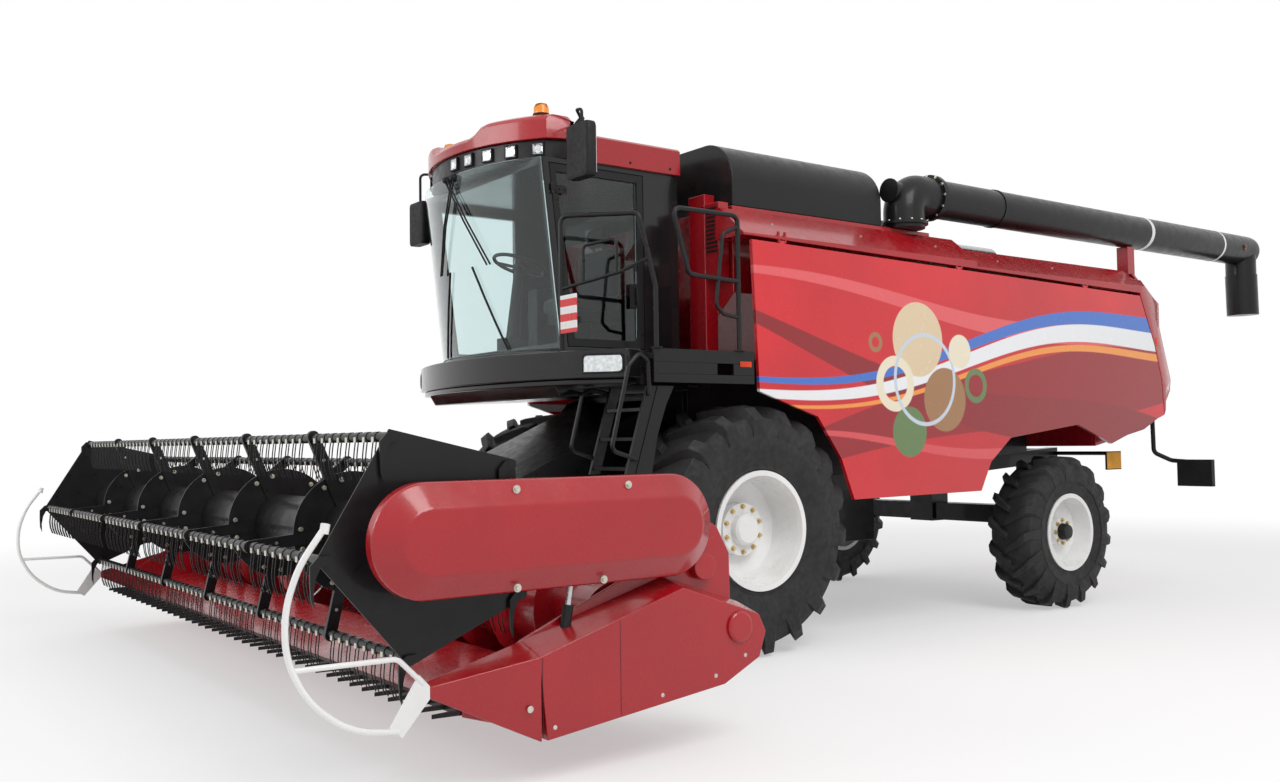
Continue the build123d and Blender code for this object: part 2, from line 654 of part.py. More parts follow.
with BuildPart() as ladder:
    for y in (-1010, -1400):
        block((1400, 1430), (y - 20, y + 20), (1330, 1944.7))
    for z in (1380, 1620, 1860):
        block((1370, 1470), (-1420, -990), (z - 15, z + 15))
write(ladder, "ladder")

with BuildPart() as handrails:
    bent_tube([(1030, -1330, 2185.3), (1030, -1330, 3120), (1545, -1040, 3090),
               (1562, -930, 2600), (1562, -930, PLATFORM_TOP + RUN_GAP)], 60, 17)
    bent_tube([(1565, -700, PLATFORM_TOP + RUN_GAP), (1565, -700, 3150), (1565, -190, 3150),
               (1565, -190, PLATFORM_TOP + RUN_GAP)], 60, 17)
write(handrails, "handrails")

with BuildPart() as mirrors:
    for side in (-1, 1):
        bent_tube([(side * 930.3, -1150, 3720), (side * 1010, -1150, 3720), (side * 1150, -1290, 3830),
                   (side * 1305, -1290, 3830), (side * 1305, -1290, 3690)], 36, 14)
        block(side_span(side, 1220, 1390), (-1330, -1250), (3350, 3700))
write(mirrors, "mirrors")

# ---- Unloading auger -----------------------------------------------------------------------------------
UX, UY = UNLOADER_AXIS
with BuildPart() as unloader_elbow:
    rod((UX, UY, 3300.3), (UX, UY, UNLOADER_Z), 175)
    rod((UX, UY, UNLOADER_Z), (UX, UY + 330, UNLOADER_Z), 175)
    with Locations(at(UX, UY, UNLOADER_Z)):
        Sphere(175)
write(unloader_elbow, "unloader_elbow")

with BuildPart() as unloader_tube:
    rod((UX, UY + 330, UNLOADER_Z), (UX, UNLOADER_REACH - 60, UNLOADER_Z), UNLOADER_RADIUS)
    rod((UX, UNLOADER_REACH - 200, UNLOADER_Z), (UX, UNLOADER_REACH - 150, 2880), 140)
write(unloader_tube, "unloader_tube")

# ---- Feeder house and its lift cylinders ----------------------------------------------------------------
FEEDER_FRONT = HEADER_REAR
FEEDER_WALL = 30
with BuildPart() as feeder_house:
    side_prism(
        [(-120, 1880), (FEEDER_FRONT, 1120), (FEEDER_FRONT, 420), (-1450, 480), (-140, 1270)],
        -FEEDER_HALF,
        FEEDER_HALF,
    )
    side_prism(
        [(-400, 1720), (FEEDER_FRONT - 10, 1080), (FEEDER_FRONT - 10, 450), (-1460, 515), (-400, 1155)],
        -FEEDER_HALF + FEEDER_WALL,
        FEEDER_HALF - FEEDER_WALL,
        mode=Mode.SUBTRACT,
    )
    for side in (-1, 1):
        rod((side * FEEDER_HALF, *FEEDER_PIVOT), (side * 700, *FEEDER_PIVOT), TRUNNION_RADIUS)
    for x in (-LIFT_X, LIFT_X):
        for ear in (-60, 48):
            side_prism([(-1500, 505), (-1330, 555), (-1310, 400), (-1400, 375), (-1470, 400)], x + ear, x + ear + 12)
        rod((x - 60, *LIFT_EYE), (x + 60, *LIFT_EYE), EYE_PIN_RADIUS)
write(feeder_house, "feeder_house")


def make_cylinder_pair(name, middles, foot, eye, barrel_radius, rod_radius):
    """The barrels and the rods of two like cylinders, on the pin at foot and round the pin at eye."""
    eye_radius = EYE_PIN_RADIUS + EYE_PLAY
    with BuildPart() as barrels:
        for x in middles:
            rod((x, *foot), (x, *along(foot, eye, BARREL_SHARE)), barrel_radius)
            rod((x - 29, *foot), (x + 29, *foot), barrel_radius - 4)
            rod((x, *along(foot, eye, BORE_SHARE)), (x, *eye), rod_radius + RUN_GAP, mode=Mode.SUBTRACT)
            rod((x - 60, *foot), (x + 60, *foot), FOOT_PIN_RADIUS + RUN_GAP, mode=Mode.SUBTRACT)
    write(barrels, f"{name}_barrels")
    with BuildPart() as rods:
        for x in middles:
            rod((x, *along(foot, eye, PISTON_SHARE)), (x, *eye), rod_radius)
            rod((x - 20, *eye), (x + 20, *eye), eye_radius + 14)
            rod((x - 30, *eye), (x + 30, *eye), eye_radius, mode=Mode.SUBTRACT)
    write(rods, f"{name}_rods")


make_cylinder_pair("lift", (-LIFT_X, LIFT_X), LIFT_FOOT, LIFT_EYE, 52, 30)

# ---- Header: trough, beams, knife, end sheets and crop dividers -------------------------------------------
AY, AZ = AUGER_AXIS
TROUGH_RADIUS = AUGER_RADIUS + TROUGH_GAP
LIP_TURN = radians(50)  # how far round the trough its front lip is


def trough_point(radius, turn):
    """A (y, z) point round the header auger, turned from straight down towards the front."""
    return (AY - radius * sin(turn), AZ - radius * cos(turn))


with BuildPart() as header_frame:
    with BuildSketch(side_plane(-HEADER_HALF)):
        with BuildLine():
            outside = TROUGH_RADIUS + PLATE
            lip, lip_under = trough_point(TROUGH_RADIUS, LIP_TURN), trough_point(outside, LIP_TURN)
            rear, rear_under = (AY + TROUGH_RADIUS, AZ), (AY + outside, AZ)
            top, top_rear = (AY + TROUGH_RADIUS + 30, HEADER_TOP), (AY + outside + 30, HEADER_TOP)
            knife_top, knife_under = (KNIFE_Y, KNIFE_Z + PLATE), (KNIFE_Y, KNIFE_Z)
            Line(knife_top, lip)
            ThreePointArc(lip, trough_point(TROUGH_RADIUS, radians(-20)), rear)
            Polyline(rear, top, top_rear, rear_under)
            ThreePointArc(rear_under, trough_point(outside, radians(-20)), lip_under)
            Polyline(lip_under, knife_under, knife_top)
        make_face()
    extrude(amount=2 * HEADER_HALF)
    block((-FEEDER_HALF + 40, FEEDER_HALF - 40), (AY + 200, AY + 500), (AZ - 180, 1050), mode=Mode.SUBTRACT)
    BEAM_FRONT = AY + outside + 30
    block((-HEADER_HALF, HEADER_HALF), (BEAM_FRONT - 4, HEADER_REAR), (1070, HEADER_TOP))
    block((-HEADER_HALF, HEADER_HALF), (BEAM_FRONT - 70, HEADER_REAR), (330, 430))
    for x in (-2960, -1800, -640, 640, 1800, 2960):
        block((x - 35, x + 35), (BEAM_FRONT - 30, HEADER_REAR), (400, 1100))
write(header_frame, "header_frame")

with BuildPart() as knife_bar:
    block((-HEADER_HALF, HEADER_HALF), (KNIFE_Y - 40, KNIFE_Y - RUN_GAP), (KNIFE_Z - 8, KNIFE_Z + 16))
    guards = int(HEADER_HALF / GUARD_PITCH)
    planes = [
        Plane(origin=at(GUARD_PITCH * count, KNIFE_Y - 36, KNIFE_Z + 4))
        for count in range(-guards, guards + 1)
    ]
    with BuildSketch(*planes):
        Polygon((-16, 0), (0, -GUARD_REACH + 36), (16, 0), align=None)
    extrude(amount=10, both=True)
write(knife_bar, "knife_bar")

SHIELD_IN = HEADER_HALF + 15
SHIELD_OUT = 3250


def make_end_sheet(side, name):
    """Inner sheet that closes the trough, and the outer shield with its nose."""
    with BuildPart() as sheet:
        low, high = sorted((side * (HEADER_HALF + RUN_GAP), side * SHIELD_IN))
        side_prism(
            [(-3200, 330), (-3200, 470), (-2900, 640), (-2250, 900), (-1950, HEADER_TOP), (-1790, HEADER_TOP),
             (-1600, 640), (-1600, 430), (-1800, 320), (-2850, 220)],
            low,
            high,
        )
        low, high = sorted((side * (SHIELD_IN - 1), side * SHIELD_OUT))
        side_prism([(-2900, 580), (-2860, 205), (-1800, 320), (-1560, 430), (-1515, 560), (-1560, 680), (-2000, 830)], low, high)
        middle = side * (SHIELD_IN + SHIELD_OUT) / 2
        with BuildSketch(Plane(origin=at(middle, -2890, 392), x_dir=(1, 0, 0), z_dir=(0, -1, 0))):
            Rectangle(SHIELD_OUT - SHIELD_IN, 376)
        with BuildSketch(Plane(origin=at(side * (SHIELD_IN + 30), -3400, 480), x_dir=(1, 0, 0), z_dir=(0, -1, 0))):
            Rectangle(60, 60)
        loft(ruled=True)
        low, high = sorted((side * (SHIELD_IN + 3), side * (SHIELD_IN + 72)))
        block((low, high), (-2810, -2500), (310, 1000), mode=Mode.SUBTRACT)
        rod((side * (SHIELD_IN - 5), *REEL_PIVOT), (side * 3140, *REEL_PIVOT), REEL_PIVOT_RADIUS)
        rod((side * (SHIELD_IN - 5), *REEL_FOOT), (side * 3160, *REEL_FOOT), FOOT_PIN_RADIUS)
        rod((side * (SHIELD_IN + 2), AY, AZ), (side * 3050, AY, AZ), 30 + RUN_GAP, mode=Mode.SUBTRACT)
    write(sheet, name)


for side, word in ((1, "left"), (-1, "right")):
    make_end_sheet(side, f"end_sheet_{word}")

with BuildPart() as crop_dividers:
    for side in (-1, 1):
        x = side * 3130
        low, high = sorted((x - 10, x + 10))
        side_prism([(-3400.5, 450), (-3400.5, 505), (-3440, 560), (-3560, 340), (-3520, 300)], low, high)
        bent_tube([(x, -3535, 325), (x, -3900, 430), (x, -4075, 820), (x, -3860, 1230)], 160, 15)
        bent_tube([(x, -4010, 645), (x, -3540, 640), (x, -3420, 520)], 60, 13)
write(crop_dividers, "crop_dividers")


def flight_planes(start, end, hand):
    """One plane for each flat of a flight, from start to end along X, turning by hand."""
    flats = 12
    step = abs(AUGER_PITCH) / flats
    count = int((end - start) / step)
    planes = []
    for number in range(count):
        turn = hand * 2 * pi * number / flats
        mid = turn + hand * pi / flats
        x = start + step * (number + 0.5)
        inward = Vector(0, sin(mid), -cos(mid))
        tangent = Vector(0, cos(mid), sin(mid)) * hand
        chord = 2 * AUGER_RADIUS * sin(pi / flats)
        span = Vector(step, 0, 0) + tangent * chord
        origin = at(x, AY, AZ) - inward * (AUGER_RADIUS * cos(pi / flats))
        planes.append(Plane(origin=origin, x_dir=span, z_dir=span.cross(inward)))
    return planes


with BuildPart() as header_auger:
    rod((-HEADER_HALF + 20, AY, AZ), (HEADER_HALF - 20, AY, AZ), AUGER_TUBE_RADIUS)
    rod((-SHIELD_IN + 3, AY, AZ), (SHIELD_IN - 3, AY, AZ), 30)
    width = hypot(AUGER_PITCH / 12, 2 * AUGER_RADIUS * sin(pi / 12))
    depth = AUGER_RADIUS * cos(pi / 12) - AUGER_TUBE_RADIUS + 25
    inner_width = width * AUGER_TUBE_RADIUS / AUGER_RADIUS
    for start, end, hand in ((-3000, -620, 1), (620, 3000, -1)):
        with BuildSketch(*flight_planes(start, end, hand)):
            Polygon((-width / 2, 0), (width / 2, 0), (inner_width / 2, depth), (-inner_width / 2, depth), align=None)
        extrude(amount=4, both=True)
write(header_auger, "header_auger")

# ---- Reel arms, chain cover, reel and tine bars ------------------------------------------------------------
RY, RZ = REEL_AXIS
PY, PZ = REEL_PIVOT
ARM_OUTLINE = [(PY + 60, PZ + 50), (PY + 60, PZ - 50), (-2560, 1015), (-2600, 955), (-2645, 955), (-2680, 1015),
               (RY + 60, RZ - 60), (RY - 70, RZ - 40), (RY - 70, RZ + 50), (RY + 60, RZ + 60), (-2500, 1130)]
with BuildPart() as reel_arms:
    for side in (-1, 1):
        low, high = sorted((side * REEL_ARM_X[0], side * REEL_ARM_X[1]))
        side_prism(ARM_OUTLINE, low, high)
        rod((side * 3060, RY, RZ), (side * 3200, RY, RZ), REEL_SHAFT_RADIUS + RUN_GAP, mode=Mode.SUBTRACT)
        rod((side * 3060, PY, PZ), (side * 3200, PY, PZ), REEL_PIVOT_RADIUS + RUN_GAP, mode=Mode.SUBTRACT)
        block(side_span(side, 3087, 3140), (-2700, -2540), (900, 1045), mode=Mode.SUBTRACT)
        rod((side * 3082, *REEL_EYE), (side * 3140, *REEL_EYE), EYE_PIN_RADIUS)
    for y in (-2300, -2950):
        block((REEL_ARM_X[1], 3149.7), (y - 30, y + 30), (1060, 1110))
write(reel_arms, "reel_arms")

COVER_X = (3150, 3300)
COVER_RADIUS = 255
COVER_ENDS = ((-3440, 1140), (-2110, 1140))  # (y, z) of the two round ends' middles
with BuildPart() as chain_cover:
    for x, inset, amount in ((COVER_X[0], 0, 70), (COVER_X[0] + 70, 0, 80)):
        with BuildSketch(side_plane(x)):
            with Locations(((COVER_ENDS[0][0] + COVER_ENDS[1][0]) / 2, COVER_ENDS[0][1])):
                SlotCenterToCenter(COVER_ENDS[1][0] - COVER_ENDS[0][0], 2 * COVER_RADIUS)
        extrude(amount=amount, taper=0 if x == COVER_X[0] else 55)
write(chain_cover, "chain_cover")


def bar_place(number):
    """The (y, z) of one tine bar's middle."""
    turn = radians(REEL_PHASE + number * 360 / REEL_BARS)
    return (RY - REEL_RADIUS * sin(turn), RZ + REEL_RADIUS * cos(turn))


with BuildPart() as reel:
    rod((-2995, RY, RZ), (2995, RY, RZ), REEL_TUBE_RADIUS)
    rod((-3140, RY, RZ), (3140, RY, RZ), REEL_SHAFT_RADIUS)
    for x in REEL_DISCS_X:
        rod((x - 4, RY, RZ), (x + 4, RY, RZ), REEL_DISC_RADIUS)
        with BuildSketch(side_plane(x - 12)):
            for number in range(REEL_BARS):
                y, z = bar_place(number)
                with Locations(Location(((y + RY) / 2, (z + RZ) / 2, 0), (0, 0, degrees(atan2(z - RZ, y - RY))))):
                    SlotOverall(REEL_RADIUS + 80, 60)
        extrude(amount=24)
    for side in (-1, 1):
        with BuildSketch(side_plane(side * 3004 - 4)):
            Polygon(*[(RY + (y - RY) * 1.07, RZ + (z - RZ) * 1.07) for y, z in map(bar_place, range(REEL_BARS))], align=None)
        extrude(amount=8)
    for number in range(REEL_BARS):
        y, z = bar_place(number)
        rod((-3100, y, z), (3100, y, z), BAR_RADIUS + RUN_GAP, mode=Mode.SUBTRACT)
write(reel, "reel")


def make_tine_bar(number, name):
    """One bar with its row of spring tines, which hang straight down at every turn of the reel."""
    y, z = bar_place(number)
    with BuildPart() as bar:
        rod((-3030, y, z), (3030, y, z), BAR_RADIUS)
        half = int(REEL_HALF / TINE_PITCH)
        planes = [Plane(origin=at(TINE_PITCH * (count + 0.5), y, z - 10)) for count in range(-half, half)]
        with BuildSketch(*planes):
            RegularPolygon(6, 3)
        extrude(amount=-(TINE_DROP - 10))
        for side in (-1, 1):
            low, high = sorted((side * 3018, side * 3030))
            side_prism([(y + 25, z + 20), (y - 35, z + 10), (y - 70, z - 80), (y - 60, z - TINE_DROP), (y - 30, z - 90)], low, high)
    write(bar, name)


for number in range(REEL_BARS):
    make_tine_bar(number, f"tine_bar_{number + 1}")

make_cylinder_pair("reel_cylinder", (-REEL_CYLINDER_X, REEL_CYLINDER_X), REEL_FOOT, REEL_EYE, 26, 14)
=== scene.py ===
"""Looks of the combine harvester: finishes, tyres, glass, tines, trim and the studio around it, in metres."""

import json
from math import cos, pi, radians, sin, sqrt, tan

import bmesh
import bpy
from mathutils import Matrix, Vector


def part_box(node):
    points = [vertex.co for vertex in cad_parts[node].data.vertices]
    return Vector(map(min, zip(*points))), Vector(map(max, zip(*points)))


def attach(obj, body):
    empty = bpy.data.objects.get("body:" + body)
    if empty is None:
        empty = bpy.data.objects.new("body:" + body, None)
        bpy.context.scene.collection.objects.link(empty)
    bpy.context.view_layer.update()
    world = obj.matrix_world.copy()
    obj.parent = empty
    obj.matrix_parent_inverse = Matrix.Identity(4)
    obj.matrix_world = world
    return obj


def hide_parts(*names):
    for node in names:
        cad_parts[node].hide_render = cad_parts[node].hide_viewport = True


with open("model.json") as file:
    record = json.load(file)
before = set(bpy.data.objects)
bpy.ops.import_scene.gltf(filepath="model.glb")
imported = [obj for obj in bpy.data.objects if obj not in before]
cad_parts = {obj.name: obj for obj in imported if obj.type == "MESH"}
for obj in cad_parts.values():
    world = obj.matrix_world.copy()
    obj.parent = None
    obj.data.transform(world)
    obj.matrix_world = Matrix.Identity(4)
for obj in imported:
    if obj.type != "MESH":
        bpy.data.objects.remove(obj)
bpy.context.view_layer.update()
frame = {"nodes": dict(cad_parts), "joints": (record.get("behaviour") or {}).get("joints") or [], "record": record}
NODES = frame["nodes"]
JOINTS = {joint["name"]: joint for joint in frame["joints"]}
SIDES = ((1, "left"), (-1, "right"))
CORNERS = ((-1, -1), (1, -1), (1, 1), (-1, 1))
UP = Vector((0, 0, 1))


def pivot(joint):
    """The point that a hinge turns about."""
    return Vector(JOINTS[joint]["pos_m"])


# ---- Camera ----
AXLE_Y = pivot("front_wheel_left_spin").y
CAMERA_PLACE = Vector((7.85, AXLE_Y - 5.73, 1.56))
CAMERA_AZIMUTH, CAMERA_PITCH, CAMERA_ROLL = radians(53.4), radians(2.41), radians(-0.81)
SENSOR_WIDTH = 36.0
FOCAL_SHARE = 0.9211  # focal length over the picture's width


def add_camera():
    data = bpy.data.cameras.new("camera")
    data.sensor_width = SENSOR_WIDTH
    data.lens = SENSOR_WIDTH * FOCAL_SHARE
    data.clip_end = 500
    camera = bpy.data.objects.new("camera", data)
    bpy.context.scene.collection.objects.link(camera)
    aim = Matrix.Rotation(CAMERA_AZIMUTH, 4, "Z") @ Matrix.Rotation(radians(90) + CAMERA_PITCH, 4, "X")
    camera.matrix_world = Matrix.Translation(CAMERA_PLACE) @ aim @ Matrix.Rotation(CAMERA_ROLL, 4, "Z")
    bpy.context.scene.camera = camera


# ---- Materials ----
class Finish:
    """A material's or the world's node tree, with short calls for the nodes that they share."""

    def __init__(self, name, owners=bpy.data.materials, output="ShaderNodeOutputMaterial"):
        self.material = owners.new(name)
        self.material.use_nodes = True
        self.tree = self.material.node_tree
        self.tree.nodes.clear()
        self.output = self.tree.nodes.new(output)
        coordinates = self.tree.nodes.new("ShaderNodeTexCoord")
        self.place, self.whole = coordinates.outputs["Object"], coordinates.outputs["Generated"]

    def add(self, kind, settings=(), **inputs):
        """A node with its settings and inputs; an underscore in an input's name stands for a space."""
        node = self.tree.nodes.new(kind)
        for key, value in dict(settings).items():
            setattr(node, key, value)
        for key, value in inputs.items():
            self.put(node.inputs[key.replace("_", " ")], value)
        return node

    def put(self, socket, value):
        if isinstance(value, bpy.types.NodeSocket):
            self.tree.links.new(value, socket)
        else:
            socket.default_value = value

    def noise(self, scale, detail=3.0, rough=0.55):
        node = self.add("ShaderNodeTexNoise", Vector=self.place, Scale=scale, Detail=detail, Roughness=rough)
        return node.outputs["Fac"]

    def ramp(self, source, *stops):
        """A colour or grey for each (place, colour) stop."""
        node = self.add("ShaderNodeValToRGB", Fac=source)
        band = node.color_ramp
        while len(band.elements) < len(stops):
            band.elements.new(0.5)
        for element, (place, colour) in zip(band.elements, stops):
            element.position = place
            element.color = (*colour, 1) if hasattr(colour, "__len__") else (colour, colour, colour, 1)
        return node.outputs["Color"]

    def mix(self, share, first, second):
        node = self.add("ShaderNodeMix", {"data_type": "RGBA"})
        for index, value in ((0, share), (6, first), (7, second)):
            self.put(node.inputs[index], (*value, 1) if isinstance(value, tuple) else value)
        return node.outputs[2]

    def maths(self, operation, first, second=0.0):
        node = self.add("ShaderNodeMath", {"operation": operation, "use_clamp": operation == "MULTIPLY"})
        self.put(node.inputs[0], first)
        self.put(node.inputs[1], second)
        return node.outputs[0]

    def scaled(self, value, factor, offset=0.0):
        """value times factor plus offset, neither clamped."""
        node = self.add("ShaderNodeMath", {"operation": "MULTIPLY_ADD"})
        for index, part in enumerate((value, factor, offset)):
            self.put(node.inputs[index], part)
        return node.outputs[0]

    def inside(self, distance, soft=0.004):
        """1 where a distance is below 0 and 0 where it is above, with a thin soft edge."""
        ends = {"From_Min": -soft, "From_Max": soft, "To_Min": 1.0, "To_Max": 0.0}
        return self.add("ShaderNodeMapRange", Value=distance, **ends).outputs["Result"]

    def length(self, vector):
        node = self.add("ShaderNodeVectorMath", {"operation": "LENGTH"})
        self.put(node.inputs[0], vector)
        return node.outputs["Value"]

    def bump(self, height, distance, strength=1.0, normal=None):
        node = self.add("ShaderNodeBump", Height=height, Distance=distance, Strength=strength)
        if normal is not None:
            self.put(node.inputs["Normal"], normal)
        return node.outputs["Normal"]

    def seen(self):
        """1 for a ray that shows the background: from the camera, through glass or off a glossy surface."""
        rays = self.add("ShaderNodeLightPath").outputs
        direct = self.maths("MAXIMUM", rays["Is Camera Ray"], rays["Is Transmission Ray"])
        return self.maths("MAXIMUM", direct, rays["Is Glossy Ray"])

    def end(self, shader):
        self.put(self.output.inputs["Surface"], shader.outputs[0])
        return self.material

    def end_in_mix(self, share, first, second):
        """Ends the tree in a mix of two shaders."""
        mixed = self.add("ShaderNodeMixShader", Fac=share)
        self.put(mixed.inputs[1], first.outputs[0])
        self.put(mixed.inputs[2], second.outputs[0])
        return self.end(mixed)

    def finish(self, **inputs):
        """Ends the tree in the main shader."""
        return self.end(self.add("ShaderNodeBsdfPrincipled", **inputs))

    def lacquer(self, colour, roughness, coat=0.5, specular=0.35):
        """Ends the tree in sprayed paint under a clear coat, with orange peel and slow waves."""
        peel = self.bump(self.noise(260, 2), 0.0004, 0.25)
        return self.finish(
            Base_Color=colour,
            Roughness=roughness,
            Normal=self.bump(self.noise(2.2, 2), 0.006, 0.10, peel),
            Coat_Weight=coat,
            Coat_Roughness=0.08,
            Specular_IOR_Level=specular,
        )


def shade(colour, factor):
    return tuple(min(1, channel * factor) for channel in colour)


def upward(finish):
    """How far the surface looks up, from 0 to 1."""
    normal = finish.add("ShaderNodeNewGeometry").outputs["Normal"]
    parts = finish.add("ShaderNodeSeparateXYZ", Vector=normal)
    return finish.maths("MAXIMUM", parts.outputs["Z"], 0.0)


DUST = (0.33, 0.27, 0.2)


def slow_tone(f, colour):
    """A colour that changes a little over a metre or so."""
    return f.ramp(f.noise(0.9, 4), (0.3, shade(colour, 0.86)), (0.7, shade(colour, 1.12)))


def enamel(name, colour, roughness=0.24, coat=0.5, dust=0.12, specular=0.35):
    """Sprayed enamel: slow change of tone, orange peel, and thin dust on what looks up."""
    f = Finish(name)
    settled = f.maths("MULTIPLY", upward(f), f.ramp(f.noise(5, 6, 0.65), (0.45, 0.0), (0.75, dust)))
    rough = f.ramp(f.noise(14, 5, 0.6), (0.35, roughness * 0.8), (0.7, roughness * 1.35))
    return f.lacquer(f.mix(settled, slow_tone(f, colour), DUST), rough, coat, specular)


def satin(name, colour, roughness, grain, dust=0.1, specular=0.3, metallic=0.0):
    """Satin paint or moulded plastic with a fine grain, scuffed a little."""
    f = Finish(name)
    tone = f.ramp(f.noise(3.5, 5), (0.3, shade(colour, 0.75)), (0.75, shade(colour, 1.35)))
    settled = f.maths("MULTIPLY", upward(f), f.ramp(f.noise(9, 6, 0.65), (0.45, 0.0), (0.75, dust)))
    rough = f.ramp(f.noise(30, 4), (0.3, roughness * 0.8), (0.7, min(1, roughness * 1.3)))
    return f.finish(
        Base_Color=f.mix(settled, tone, DUST),
        Roughness=rough,
        Normal=f.bump(f.noise(grain, 2), 0.0006, 0.3),
        Specular_IOR_Level=specular,
        Metallic=metallic,
    )


def rubber(name):
    """Tyre rubber: dull, finely pitted, greyed by patches of dust."""
    f = Finish(name)
    soil = f.ramp(f.noise(7, 6, 0.7), (0.42, 0.0), (0.72, 0.22))
    tone = f.ramp(f.noise(2.4, 4), (0.3, (0.011, 0.011, 0.012)), (0.7, (0.022, 0.022, 0.023)))
    pits = f.bump(f.noise(420, 2), 0.0006, 0.5)
    return f.finish(
        Base_Color=f.mix(soil, tone, (0.06, 0.055, 0.05)),
        Roughness=f.ramp(f.noise(22, 4), (0.3, 0.55), (0.7, 0.85)),
        Normal=f.bump(f.noise(18, 4), 0.004, 0.15, pits),
        Specular_IOR_Level=0.35,
    )


def steel(name, colour, roughness, metallic=1.0):
    """Bare or plated metal with faint smears."""
    f = Finish(name)
    return f.finish(
        Base_Color=f.ramp(f.noise(40, 4), (0.3, shade(colour, 0.8)), (0.7, shade(colour, 1.1))),
        Roughness=f.ramp(f.noise(60, 3), (0.3, roughness * 0.7), (0.7, roughness * 1.4)),
        Normal=f.bump(f.noise(300, 2), 0.0002, 0.3),
        Metallic=metallic,
    )


def clear(name, colour, smear=0.03, alpha_shadow=0.85):
    """Glass or clear plastic, which lets most of the light through to what is behind."""
    f = Finish(name)
    glass = f.add(
        "ShaderNodeBsdfPrincipled",
        Base_Color=(*colour, 1),
        Roughness=f.ramp(f.noise(6, 5), (0.4, 0.0), (0.8, smear)),
        Transmission_Weight=1.0,
        IOR=1.45,
    )
    through = f.add("ShaderNodeBsdfTransparent", Color=(*shade(colour, alpha_shadow), 1))
    return f.end_in_mix(f.add("ShaderNodeLightPath").outputs["Is Shadow Ray"], glass, through)


def woven(name, colour):
    """Seat cloth: two crossed ribs of thread and a soft sheen."""
    f = Finish(name)
    ribs = [
        f.add("ShaderNodeTexWave", {"bands_direction": axis}, Vector=f.place, Scale=160.0, Distortion=0.6)
        for axis in ("X", "Z")
    ]
    weave = f.maths("MULTIPLY", ribs[0].outputs["Fac"], ribs[1].outputs["Fac"])
    return f.finish(
        Base_Color=f.ramp(weave, (0.2, shade(colour, 0.6)), (0.8, shade(colour, 1.5))),
        Roughness=0.9,
        Normal=f.bump(weave, 0.0008, 0.5),
        Sheen_Weight=0.25,
    )


# Sweeps on the side panels: colour, (height, slope) of the middle line at the panel's front, (height, rate,
# start) of its wave, (half width at the front, growth along the panel)
SWEEPS = [
    ((0.30, 0.004, 0.010), (1.30, 0.20), (0.10, 0.9, 0.4), (0.10, 0.060)),
    ((0.72, 0.10, 0.11), (2.72, -0.06), (0.07, 1.3, 1.0), (0.030, 0.016)),
    ((0.26, 0.004, 0.009), (2.36, -0.20), (0.12, 1.1, 2.6), (0.05, 0.045)),
    ((0.66, 0.07, 0.08), (1.58, -0.05), (0.05, 1.9, 0.3), (0.012, 0.012)),
    ((0.80, 0.81, 0.83), (1.92, 0.115), (0.13, 1.25, 3.4), (0.030, 0.013)),
    ((0.05, 0.16, 0.55), (2.02, 0.125), (0.13, 1.25, 3.4), (0.020, 0.010)),
    ((0.85, 0.30, 0.05), (1.84, 0.100), (0.13, 1.25, 3.4), (0.010, 0.005)),
]
# Discs and rings on the side panels: colour, (y, z) of the middle, radius of the line and its half width
RINGS = [
    ((0.70, 0.55, 0.36), (1.70, 2.34), 0.15, 0.15),
    ((0.34, 0.17, 0.07), (2.02, 1.86), 0.13, 0.13),
    ((0.80, 0.72, 0.55), (1.42, 1.98), 0.18, 0.04),
    ((0.12, 0.20, 0.07), (1.58, 1.60), 0.10, 0.10),
    ((0.55, 0.62, 0.70), (1.78, 2.02), 0.36, 0.016),
    ((0.80, 0.72, 0.55), (2.22, 2.26), 0.07, 0.07),
    ((0.12, 0.20, 0.07), (2.42, 1.98), 0.12, 0.025),
    ((0.34, 0.17, 0.07), (1.20, 2.30), 0.06, 0.018),
]


def sweep_art(name, colour, front):
    """Panel enamel with printed sweeps and rings; front is the y of the front axle."""
    f = Finish(name)
    parts = f.add("ShaderNodeSeparateXYZ", Vector=f.place)
    along = f.scaled(parts.outputs["Y"], 1.0, -front)
    height = parts.outputs["Z"]
    printed = slow_tone(f, colour)
    for tint, (level, slope), (wave, rate, start), (half, growth) in SWEEPS:
        bend = f.maths("SINE", f.scaled(along, rate, start))
        line = f.scaled(bend, wave, f.scaled(along, slope, level))
        off = f.maths("ABSOLUTE", f.maths("SUBTRACT", height, line))
        share = f.inside(f.maths("SUBTRACT", off, f.scaled(along, growth, half)))
        printed = f.mix(share, printed, tint)
    for tint, (y, z), line, half in RINGS:
        flat = f.add("ShaderNodeCombineXYZ", X=f.scaled(along, 1.0, -y), Y=f.scaled(height, 1.0, -z))
        off = f.maths("ABSOLUTE", f.scaled(f.length(flat.outputs[0]), 1.0, -line))
        printed = f.mix(f.inside(f.scaled(off, 1.0, -half)), printed, tint)
    return f.lacquer(printed, f.ramp(f.noise(14, 5, 0.6), (0.35, 0.18), (0.7, 0.30)))


def warning_stripes(name):
    """Slanting red and white bars, printed on a board."""
    f = Finish(name)
    parts = f.add("ShaderNodeSeparateXYZ", Vector=f.place)
    slant = f.scaled(parts.outputs["Z"], 1.0, f.scaled(parts.outputs["Y"], 0.9, 0.0))
    bars = f.maths("SINE", f.scaled(slant, 62.0, 0.0))
    return f.finish(
        Base_Color=f.mix(f.inside(bars, 0.06), (0.72, 0.03, 0.03), (0.86, 0.86, 0.85)),
        Roughness=f.ramp(f.noise(30, 3), (0.3, 0.25), (0.7, 0.4)),
    )


# The side panels' red, defined below RED, is the same paint as RED made brighter: painted light, standing in for
# the stronger light that falls on the panels
RED = (0.36, 0.006, 0.012)
LIT_PANEL_RED = (0.60, 0.012, 0.020)
BLACK = (0.010, 0.010, 0.011)

